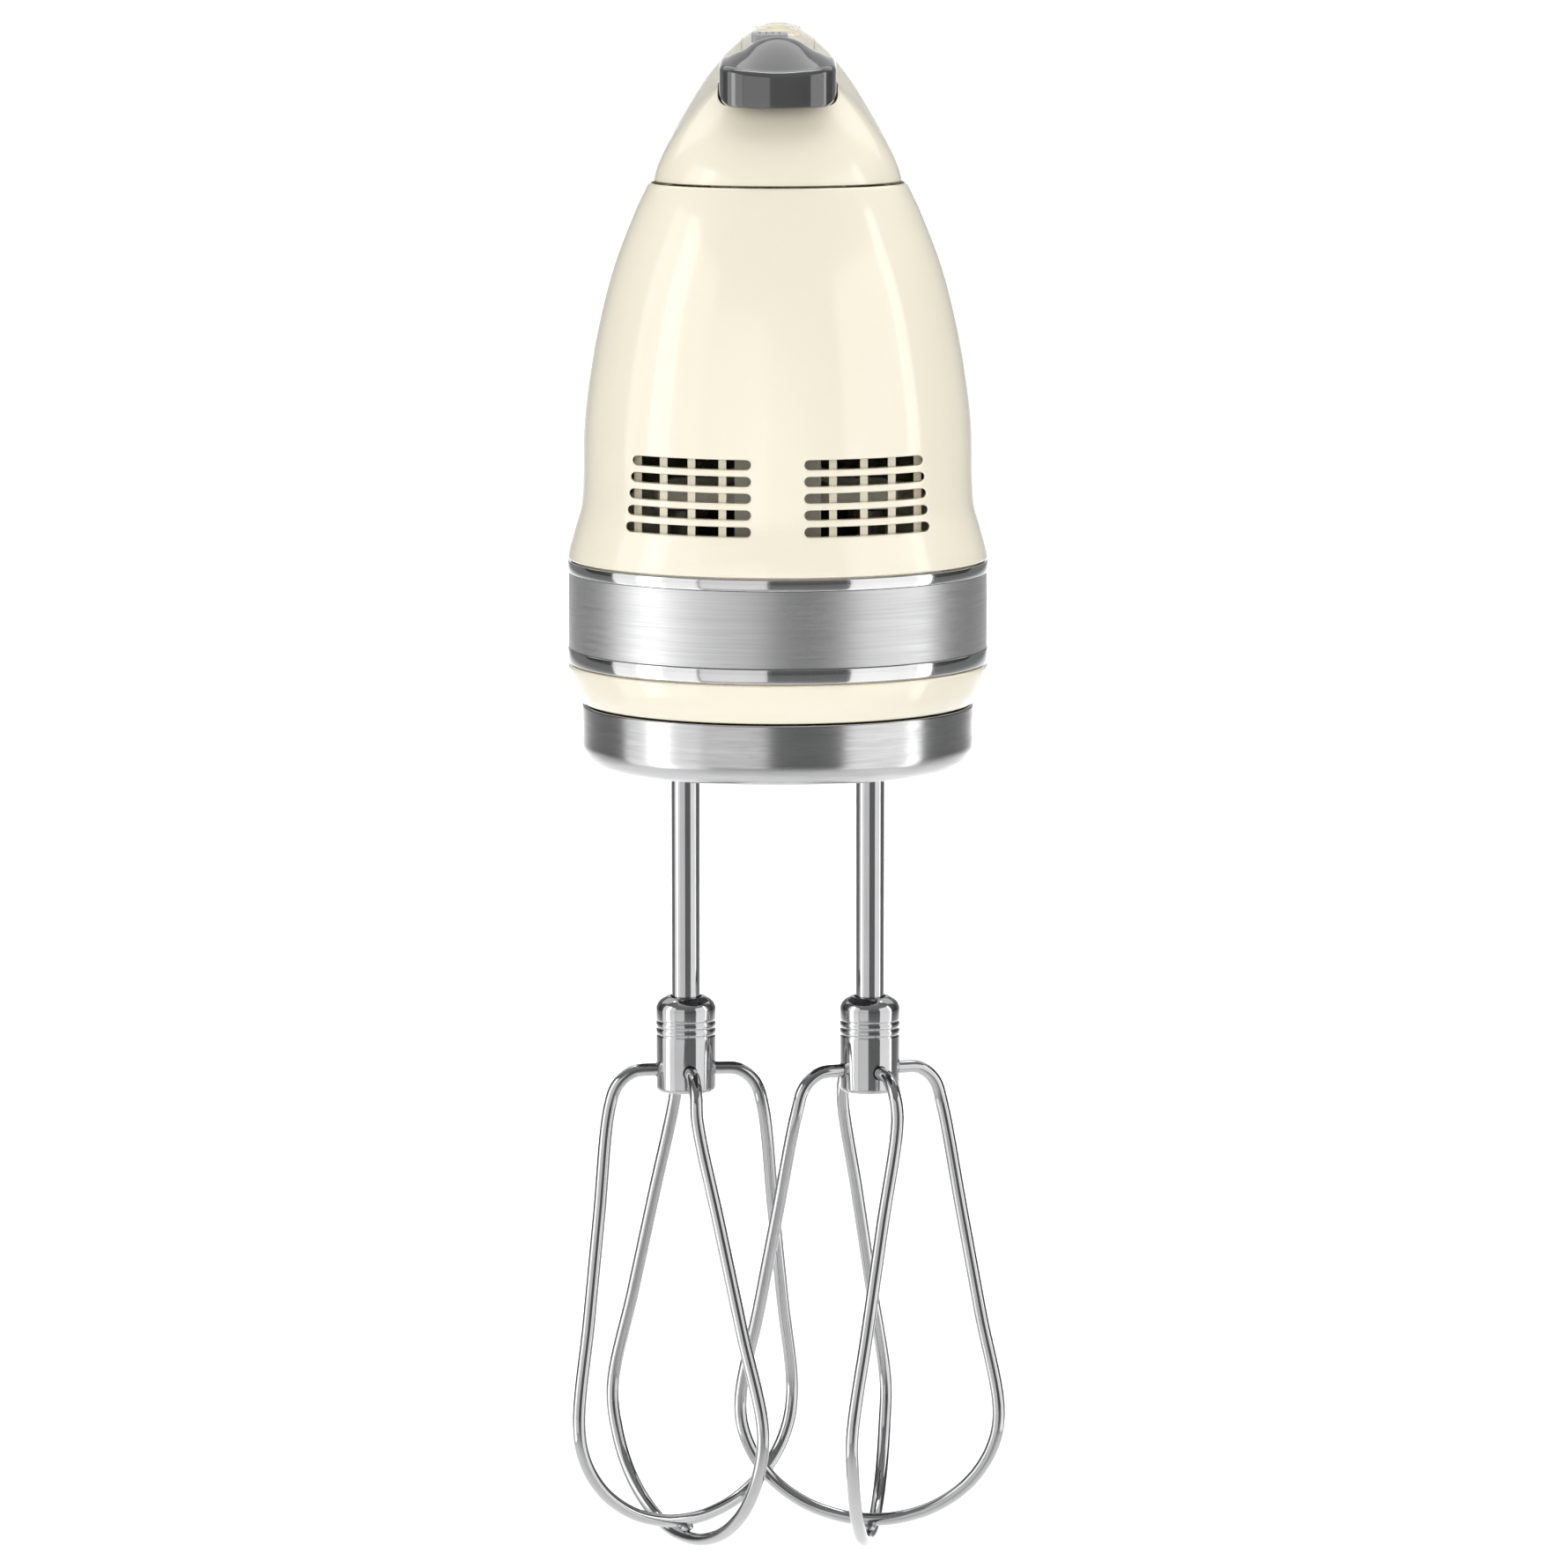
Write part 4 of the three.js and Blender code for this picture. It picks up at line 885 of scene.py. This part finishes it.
def punch_tilted(obj, flat, z0, z1):
    return cut(obj, tilted_prism("cutter", flat, z0, z1))


def panel_outline(grow=0.0):
    x, y = PANEL_HALF[0] + grow, PANEL_HALF[1] + grow
    return rounded([(-x, -y, 3), (x, -y, 3), (x, y, 7), (-x, y, 7)], 10)


COVER_WALL = 1.8
PANEL_SEAT = -2.2


def cover_cavity():
    """The hollow of the cover, kept clear of the walls of the well and of the panel's seat."""
    rows = dome_rows(COVER_WALL)
    cavity = solid("cutter", [rows[0] - [0, 0, 1], *rows])
    well = grown(well_outline(0.0), COVER_WALL)
    punch(cavity, well, "z", WELL["floor"] - COVER_WALL, 190)
    seat = panel_outline(GAP + COVER_WALL)
    return punch_tilted(cavity, seat, PANEL_SEAT - COVER_WALL, 14)


def upper_cover():
    body = solid("handle_cover", rim_rounding(dome_rows()))
    tree = surface_of(body)
    well = subdivided(well_outline(0.0), 1.0)
    cut(body, new_object("cutter", *pocket_cutter(tree, well, 0.3, WELL["floor"], "z")))
    punch_tilted(body, panel_outline(GAP), PANEL_SEAT, 14)
    cut(body, cover_cavity())
    bore(body, 0, local_middle("ejector_rod")[1], 3.6, 124, 134)
    for flat in (stalk_slot(), *(circle(0, y, KEY_HOLE) for y in KEY_Y)):
        punch_tilted(body, flat, -6, -1)
    finish_piece(body, "casing", "cream_gloss", "upper_cover")


# ---------- ejector button ----------


NOSE = {"bottom": 139.0, "edge": 1.5, "corner": 2.6, "front_z": 146.0, "crest_y": -5.0}
FACE = curve_through([
    (0, 153.4), (2.4, 153.1), (4.5, 152.4), (5.4, 151.9), (6.7, 151.0), (7.6, 150.5),
    (9.7, 149.7), (12.2, 148.5)])


def button_outline(half, front, back):
    """The button from above: a bowed front that runs into straight sides."""
    knots = np.array([(0, front), (0.7 * half, front), (half, front + 2.9), (half, front + 9.4)])
    t = np.linspace(0, 1, 60)[:, None]
    bow = ((1 - t) ** 3 * knots[0] + 3 * t * (1 - t) ** 2 * knots[1]
           + 3 * t * t * (1 - t) * knots[2] + t ** 3 * knots[3])
    heel = rounded([(half, front + 9.4, 0), (half, back, 4), (0, back, 0)], 12)[1:]
    return mirrored_evenly(np.concatenate([bow, heel]), 240)


def button_top(x, y, front):
    """The top rises from a level front edge to a crest with a hump in its middle."""
    x = np.abs(x)
    start = NOSE["front_z"] + 0.9 * (x / 10) ** 2
    crest = FACE(x)
    t = np.clip((y - front) / (NOSE["crest_y"] - front), 0, 1)
    behind = np.clip(y - NOSE["crest_y"], 0, None)
    return start + (crest - start) * (1 - (1 - t) ** 1.45) - 0.006 * behind ** 2


def button_bottom(x):
    """The lower edge sags a little and turns up round the two lower corners."""
    x, corner = np.abs(x), NOSE["corner"]
    beyond = np.clip(x - (12.15 - corner), 0, corner)
    turn_up = corner - np.sqrt(corner ** 2 - beyond ** 2)
    return NOSE["bottom"] + 0.4 * (x / 10) ** 2 + turn_up


def button_solid():
    low, high = local_box("ejector_button")
    front, back, edge = low[1], high[1], NOSE["edge"]
    plan = button_outline(high[0], front, back)
    middle = np.array([0.0, -11.0])
    inner = grown(plan, -edge)
    core = grown(plan, -0.5)
    rows = []
    for share in (0.02, 0.5, 1.0):
        flat = middle + (core - middle) * share
        rows.append(lifted(flat, button_bottom(flat[:, 0])))
    for turn in np.linspace(0, math.pi / 2, 5)[1:]:
        flat = grown(plan, -0.5 * (1 - math.sin(turn)))
        lift = 0.5 * (1 - math.cos(turn))
        rows.append(lifted(flat, button_bottom(plan[:, 0]) + lift))
    low_z = rows[-1][:, 2]
    high_z = button_top(*inner.T, front) - edge
    for share in np.linspace(0, 1, 6)[1:-1]:
        rows.append(lifted(plan, low_z + (high_z - low_z) * share))
    for turn in np.linspace(0, math.pi / 2, 9):
        flat = grown(plan, -edge * (1 - math.cos(turn)))
        rows.append(lifted(flat, button_top(*inner.T, front) - edge * (1 - math.sin(turn))))
    for share in np.linspace(1, 0.02, 22)[1:]:
        flat = middle + (inner - middle) * share
        rows.append(lifted(flat, button_top(*flat.T, front)))
    return solid("ejector_cap", rows)


def cover_when_pressed():
    """The cover's surface as the pressed button meets it, open over the well."""
    points, faces = skin(dome_rows())
    raised = new_object("cutter", points + [0, 0, travel_of("ejector_press") + GAP], faces)
    return punch(raised, subdivided(well_outline(0.2), 1.0), "z", 100, 190)


def ejector_button():
    body = cut(button_solid(), cover_when_pressed())
    skirt = local_box("ejector_button")[0][2]
    rear = WELL["front"] + GAP
    slope = [(rear, 143.6), (rear, 130), (-19, 130), (-19, NOSE["bottom"])]
    punch(body, slope, "x", -14, 14)
    join(body, prism("tail", subdivided(well_outline(0.4), 1.0), "z", skirt, 145))
    under = [(rear, 130), (rear, 147.4), (-20, 140.8), (-22.2, 130)]
    punch(body, under, "x", -10.4, 10.4)
    bore(body, 0, local_middle("ejector_rod")[1], 3.1, 128, 146.3)
    finish_piece(body, "ejector", "dark_grey_gloss", "ejector_button", angle=40)


# ---------- control panel ----------


KEY_Y = (-6.0, 5.0)
KEY_HOLE, KEY_DISH = 4.2, 4.9
STALK_Y = -18.0


def stalk_slot():
    """The slot in which the power switch's stalk slides."""
    middle, stroke = local_middle("power_switch_knob")[0], travel_of("power_switch_slide")
    return rectangle(middle - 2, middle + stroke + 2, STALK_Y - 1.9, STALK_Y + 1.9, 1)


def control_panel():
    """A plate let into the handle, flush with it, with dished holes for the keys."""
    panel = tilted_prism("panel_plate", subdivided(panel_outline(0.15), 1.0), -1.9, 14)
    glass = tilted_prism("speed_window", rectangle(-4.5, 4.5, 13, 21, 0.7), -0.7, 14)
    for piece in (panel, glass):
        combine(piece, solid("dome", dome_rows()), "INTERSECT")
    low, high = local_box("power_switch_knob")
    reach = high[0] + travel_of("power_switch_slide") + 0.4
    recess = rectangle(low[0] - 0.4, reach, STALK_Y - 2.9, STALK_Y + 2.9, 1.6)
    punch_tilted(panel, recess, 0.4, 14)
    punch_tilted(panel, stalk_slot(), -5, 5)
    for y in KEY_Y:
        for radius, floor in ((KEY_HOLE, -5), (KEY_DISH, 0.5)):
            punch_tilted(panel, circle(0, y, radius), floor, 14)
    punch_tilted(panel, rectangle(-4.8, 4.8, 12.7, 21.3, 0.8), -1, 14)
    soften_edges(panel, 0.2, 3)
    finish_piece(panel, "casing", "cream_gloss", "control_panel")
    soften_edges(glass, 0.2, 3)
    finish_piece(glass, "casing", "display_window", "speed_display")


def speed_key(name, node, body, y, upright):
    """A dished round key with a raised plus or minus mark."""
    profile = [(1e-4, -3), (3.9, -3), (3.9, 0.6), (3.82, 0.95), (3.55, 1.25), (3.1, 1.4),
               (2.6, 1.36), (1.8, 1.24), (0.9, 1.18), (1e-4, 1.16)]
    rows = [tilted(lifted(circle(0, y, r, 56), height)) for r, height in profile]
    key = solid(name, rows)
    bar = rectangle(-1.5, 1.5, y - 0.28, y + 0.28, 0.2, 4)
    join(key, tilted_prism("mark", bar, 0.9, 1.4))
    if upright:
        stem = rectangle(-0.28, 0.28, y - 1.5, y + 1.5, 0.2, 4)
        join(key, tilted_prism("mark", stem, 0.9, 1.41))
    finish_piece(key, body, "cream_gloss", node)


def power_knob():
    low, high = local_box("power_switch_knob")
    middle = (low[0] + high[0]) / 2
    plan = rectangle(low[0], high[0], STALK_Y - 2.5, STALK_Y + 2.5, 1.5)
    knob = tilted_prism("power_slider", plan, 0.7, 2.62)
    melt(knob, 0.16, 5)
    for offset in (-2.1, -0.7, 0.7, 2.1):
        x = middle + offset
        groove = rectangle(x - 0.2, x + 0.2, STALK_Y - 1.6, STALK_Y + 1.6, 0.18, 3)
        punch_tilted(knob, groove, 2.35, 4)
    stalk = rectangle(middle - 1.5, middle + 1.5, STALK_Y - 1.5, STALK_Y + 1.5, 0.4)
    join(knob, tilted_prism("stalk", stalk, -4.6, 1))
    finish_piece(knob, "power_switch", "silver_grey_gloss", "power_switch_knob")


# ---------- rubber pads and cord gland ----------

CORD_HOLE = 3.2
CORD_SLOPE = 0.9


def heel_pad():
    low, high = local_box("heel_pad")
    flat = rectangle(low[0], high[0], low[2], high[2], PAD_CORNER, 10)
    pad = prism("heel_rest", flat, "y", low[1], high[1])
    for z in np.linspace(low[2] + 7, high[2] - 7, 6):
        groove = rectangle(low[0] + 4, high[0] - 4, z - 1.1, z + 1.1, 1.0)
        punch(pad, groove, "y", high[1] - 0.8, high[1] + 3)
    soften_edges(pad, 0.5, 3)
    finish_piece(pad, "casing", "grey_rubber", "heel_pad")


def grip_pad():
    low, high = local_box("grip_pad")
    flat = rectangle(low[0], high[0], low[1], high[1], 8, 14)
    pad = prism("grip_insert", flat, "z", low[2], high[2])
    for y in np.linspace(low[1] + 9, high[1] - 9, 12):
        rib = rectangle(low[0] + 3.5, high[0] - 3.5, y - 0.9, y + 0.9, 0.85)
        punch(pad, rib, "z", low[2] - 2, low[2] + 0.7)
    soften_edges(pad, 0.35, 2)
    finish_piece(pad, "casing", "grey_rubber", "grip_pad")


def cord_gland():
    """A ribbed boss with a slanting hole for the cord, down and back from its middle."""
    low, high = local_box("cord_gland")
    z = local_middle("cord_gland")[2]
    r, y0, y1 = high[0], low[1], high[1]
    profile = [(1e-4, y0), (r - 1, y0), (r - 1, y0 + 2), (r, y0 + 2), (r, y0 + 3.4),
               (r - 0.5, y0 + 3.7), (r - 0.5, y0 + 4.9), (r, y0 + 5.2), (r, y1 - 1.5),
               (r - 0.3, y1 - 0.7), (r - 1, y1 - 0.15), (r - 1.7, y1), (1e-4, y1)]
    gland = lathe("swivel_gland", profile, (0, 0, z), "y")
    along = np.array([0, math.sin(CORD_SLOPE), -math.cos(CORD_SLOPE)])
    across = np.array([0, math.cos(CORD_SLOPE), math.sin(CORD_SLOPE)])
    hole = circle(0, 0, CORD_HOLE, 32)
    ring = hole[:, :1] * [1, 0, 0] + hole[:, 1:] * across + [0, 153, z - 4]
    cut(gland, solid("cutter", [ring + along * t for t in (-8, 12)]))
    finish_piece(gland, "cord_outlet", "grey_rubber", "cord_gland")


# ---------- beaters ----------

WIRE_RADIUS = 1.4
WIRE_SEAT = 0.18
LOOP = {"shoulder_r": 16.6, "shoulder_z": -74.5, "wide_r": 28.0, "wide_z": -140.0, "exit_z": -65.9}
LOOP_DEPTHS = (24.3, 28.2)
HUB_TOP, HUB_BOTTOM, HUB_RADIUS = -50.1, -70.6, 6.4
HUB_GROOVES = (-58.3, -56.8, -55.3)
STEM_RADIUS = 3.05


def between(a, b, start, end, t):
    return (end - t) / (end - start) * a + (t - start) / (end - start) * b


def catmull_rom(points):
    """A centripetal curve through points."""
    points = np.asarray(points, float)
    padded = np.concatenate([[2 * points[0] - points[1]], points, [2 * points[-1] - points[-2]]])
    knots = np.concatenate([[0], np.cumsum(
        np.sqrt(np.linalg.norm(np.diff(padded, axis=0), axis=1)))])
    made = []
    for i in range(1, len(padded) - 2):
        t0, t1, t2, t3 = knots[i - 1:i + 3]
        p0, p1, p2, p3 = padded[i - 1:i + 3]
        for t in np.linspace(t1, t2, 9, endpoint=False):
            middle = between(p1, p2, t1, t2, t)
            before = between(between(p0, p1, t0, t1, t), middle, t0, t2, t)
            after = between(middle, between(p2, p3, t2, t3, t), t1, t3, t)
            made.append(between(before, after, t1, t2, t))
    made.append(points[-1])
    return np.array(made)


def polar(r, degrees, z):
    angle = math.radians(degrees)
    return np.array([r * math.cos(angle), r * math.sin(angle), z])


def loop_line(top_angle, bottom_angle, depth):
    """The middle line of one beater wire, from the hub round the bottom and back."""
    exit_z, wide_r, wide_z = LOOP["exit_z"], LOOP["wide_r"], LOOP["wide_z"]
    side = [polar(r, top_angle, exit_z - drop)
            for r, drop in ((2.9, 0), (7, 0), (11.4, 0.4), (14.8, 3.2))]
    shoulder = polar(LOOP["shoulder_r"], top_angle, LOOP["shoulder_z"])
    wide = polar(wide_r, bottom_angle, wide_z)
    side += [shoulder + (wide - shoulder) * t for t in (0, 0.33, 0.67, 1)]
    for degrees in (20, 40, 60, 77):
        angle = math.radians(degrees)
        side.append(polar(wide_r * math.cos(angle), bottom_angle,
                          wide_z - depth * math.sin(angle)))
    other = [p * [-1, -1, 1] for p in reversed(side)]
    return catmull_rom(side + [np.array([0, 0, wide_z - depth])] + other)


def hub_profile():
    r, bottom, top = HUB_RADIUS, HUB_BOTTOM, HUB_TOP
    profile = [(1e-4, bottom), (r - 1.1, bottom), (r - 0.5, bottom + 0.15),
               (r - 0.12, bottom + 0.5), (r, bottom + 1.1)]
    for groove in HUB_GROOVES:
        for offset, depth in ((-0.4, 0), (-0.2, 0.15), (0, 0.2), (0.2, 0.15), (0.4, 0)):
            profile.append((r - depth, groove + offset))
    return profile + [(r, top - 2.9), (r - 0.1, top - 2.2), (r - 0.45, top - 1.4),
                      (r - 1.1, top - 0.7), (r - 2.0, top - 0.2), (4.0, top), (3.4, top - 0.1),
                      (3.35, top - 11), (1e-4, top - 11)]


def stem_profile(bottom, top):
    """The shaft, with a ring groove near the gear that holds it and a domed top."""
    r = STEM_RADIUS
    return [(1e-4, bottom), (r - 0.3, bottom), (r, bottom + 0.3), (r, 30.2), (r - 0.45, 30.7),
            (r - 0.45, 31.7), (r, 32.2), (r, top - 2.2), (r - 0.5, top - 0.9),
            (r - 1.3, top - 0.15), (1e-4, top)]


WELD_PROFILE = [(1e-4, -166.9), (0.7, -166.85), (1.25, -166.5), (1.5, -166.0), (1.3, -165.5),
                (1e-4, -165.3)]


def beater(name, side, top_angle, bottom_angle):
    """One beater: a shaft with two wings, a hub, two crossed wires and the weld that ties them."""
    axis = (side * AXIS_X, 0, 0)
    body = f"beater_{name}"
    lines = [loop_line(top_angle + turn, bottom_angle + turn, depth)
             for turn, depth in zip((0, 90), LOOP_DEPTHS)]
    for letter, line in zip("ab", lines):
        points, faces = tube(line, WIRE_RADIUS, 18)
        wire = new_object(f"whisk_wire_{letter}_{name}", points + axis, faces)
        finish_piece(wire, body, "chrome_wire", f"beater_loop_{letter}_{name}", angle=60)
    hub = lathe(f"whisk_hub_{name}", hub_profile(), axis, segments=72)
    for line in lines:
        for part in (line[:26], line[-26:]):
            points, faces = tube(part, WIRE_RADIUS + WIRE_SEAT, 16)
            cut(hub, new_object("cutter", points + axis, faces))
    finish_piece(hub, body, "chrome_wire", f"beater_hub_{name}", angle=40)
    low, high = local_box(f"beater_stem_{name}")
    stem = lathe(f"whisk_stem_{name}", stem_profile(low[2], high[2]), axis, segments=48)
    wing = prism("wing", rectangle(axis[0] - 4.5, axis[0] + 4.5, 19.5, 27, 1, 6), "y", -0.6, 0.6)
    soften_edges(wing, 0.2, 2)
    join(stem, wing)
    finish_piece(stem, body, "chrome_wire", f"beater_stem_{name}", angle=40)
    weld = lathe(f"whisk_weld_{name}", WELD_PROFILE, axis, segments=24)
    finish_piece(weld, body, "chrome_wire", angle=60)


# ---------- spring ----------


SPRING_WIRE = 0.7
SPRING_TURNS = 5


def ejector_spring():
    """A coil whose end turns lie flat, as on a ground spring."""
    low, high = local_box("ejector_spring")
    centre = (low + high) / 2
    t = np.linspace(0, 1, SPRING_TURNS * 40 + 1)
    lift = np.clip((t - 0.12) / 0.76, 0, 1)
    angle = 2 * math.pi * SPRING_TURNS * t
    radius = (high[0] - low[0]) / 2 - SPRING_WIRE
    z0, z1 = low[2] + SPRING_WIRE, high[2] - SPRING_WIRE
    line = np.column_stack([centre[0] + radius * np.cos(angle), centre[1] + radius * np.sin(angle),
                            z0 + (z1 - z0) * lift])
    spring = new_object("return_spring", *tube(line, SPRING_WIRE, 12))
    finish_piece(spring, "casing", "plain_steel", "ejector_spring", angle=60)
    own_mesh(spring)


# ---------- studio ----------

FLOOR_DROP = 0.55
FLOOR_HALF, FLOOR_BACK, SWEEP = 12.0, 8.0, 3.0
LIGHT_TARGET = (0, -0.08, -0.01)


def studio_floor():
    """A plain pale floor that sweeps up into a backdrop."""
    floor_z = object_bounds()[0][2] - FLOOR_DROP
    material = moulded("studio_floor", (0.93, 0.93, 0.93), 0.8, 60, 0.01, 0, 0.01)
    profile = [(-FLOOR_HALF, 0.0), (FLOOR_BACK, 0.0)]
    for turn in np.linspace(0, math.pi / 2, 16)[1:]:
        profile.append((FLOOR_BACK + SWEEP * math.sin(turn), SWEEP * (1 - math.cos(turn))))
    profile.append((FLOOR_BACK + SWEEP, 2 * SWEEP))
    points = [(x, y, floor_z + z) for y, z in profile for x in (-FLOOR_HALF, FLOOR_HALF)]
    faces = [(i, i + 1, i + 3, i + 2) for i in range(0, len(points) - 2, 2)]
    mesh = bpy.data.meshes.new("studio_floor")
    mesh.from_pydata(points, [], faces)
    floor = in_scene("studio_floor", mesh)
    mesh.materials.append(material)
    mesh.shade_smooth()
    floor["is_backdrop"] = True


def area_light(name, location, size, power, spread=180, in_gloss=True, in_diffuse=True,
               target=LIGHT_TARGET):
    light = bpy.data.lights.new(name, "AREA")
    light.shape, light.size, light.size_y = "RECTANGLE", *size
    light.energy, light.spread = power, math.radians(spread)
    obj = in_scene(name, light)
    obj.location = location
    obj.visible_glossy, obj.visible_diffuse = in_gloss, in_diffuse
    obj.rotation_euler = (Vector(target) - Vector(location)).to_track_quat("-Z", "Y").to_euler()


def studio_world():
    """Soft white light that is darker towards the ground and behind the mixer."""
    world = bpy.data.worlds.new("studio")
    world.use_nodes = True
    tree = world.node_tree
    background, link = tree.nodes["Background"], tree.links.new
    coordinates = tree.nodes.new("ShaderNodeTexCoord")
    split = tree.nodes.new("ShaderNodeSeparateXYZ")
    link(coordinates.outputs["Generated"], split.inputs[0])
    strength = tree.nodes.new("ShaderNodeMath")
    strength.operation = "MULTIPLY"
    link(map_range(tree, split.outputs["Z"], (-0.3, 0.9), (0.05, 0.3)), strength.inputs[0])
    link(map_range(tree, split.outputs["Y"], (-0.3, 0.5), (1.0, 0.5)), strength.inputs[1])
    link(strength.outputs["Value"], background.inputs["Strength"])
    background.inputs["Color"].default_value = (0.98, 0.99, 1.0, 1)
    bpy.context.scene.world = world


CAMERA_TARGET = Vector((0.0013, BEATER_PLANE_Y, BASE_Z - 0.0046))
CAMERA_DISTANCE = 1.5
CAMERA_ELEVATION = math.radians(7.6)
CAMERA_LENS = 162.2


def studio():
    studio_floor()
    studio_world()
    area_light("key_left", (-1.15, -0.45, -0.02), (1.3, 1.6), 6.5)
    area_light("key_right", (1.17, -0.7, -0.02), (1.1, 1.6), 6)
    area_light("front_left", (-0.91, -2.1, 0.03), (1.5, 1.75), 6)
    area_light("front_fill", (0.1, -2.6, 0.15), (1.6, 1.2), 3.5, 60, in_gloss=False)
    area_light("top_fill", (0.2, -0.9, 1.6), (1.4, 1.2), 1.9, 90, in_gloss=False)
    area_light("rim_left", (-1.3, 0.9, 1.2), (1.0, 1.4), 5.5, 90, in_gloss=False)
    area_light("rim_right", (1.3, 0.9, 1.2), (1.0, 1.4), 6.5, 90, in_gloss=False)
    area_light("strip_left", (-1.08, -0.4, -0.02), (0.3, 1.5), 2.3, in_diffuse=False)
    area_light("strip_right", (1.13, -0.14, -0.02), (0.18, 1.5), 1.7, in_diffuse=False)
    area_light("strip_top", (0, 0.9, 1.1), (3.2, 1.2), 8, in_diffuse=False)
    area_light("backdrop", (0, 5.6, 3.5), (3.4, 9.5), 210, 70, target=(0, 5.8, 0))
    camera_data = bpy.data.cameras.new("camera")
    camera_data.lens, camera_data.sensor_width, camera_data.clip_end = CAMERA_LENS, 36, 60
    camera = in_scene("camera", camera_data)
    back = Vector((0, -math.cos(CAMERA_ELEVATION), math.sin(CAMERA_ELEVATION)))
    camera.location = CAMERA_TARGET + back * CAMERA_DISTANCE
    camera.rotation_euler = (-back).to_track_quat("-Z", "Y").to_euler()
    bpy.context.scene.camera = camera
    bpy.context.scene.view_settings.view_transform = "Standard"


# ---------- the whole mixer ----------

dress_cad_nodes()
main_housing()
lower_ring()
trim_band()
base_skirt()
base_plate()
upper_cover()
ejector_button()
control_panel()
speed_key("speed_key_up", "speed_up_button", "speed_up", KEY_Y[0], True)
speed_key("speed_key_down", "speed_down_button", "speed_down", KEY_Y[1], False)
power_knob()
heel_pad()
grip_pad()
cord_gland()
beater("left", -1, 9, 36)
beater("right", 1, 20, -8)
ejector_spring()
studio()
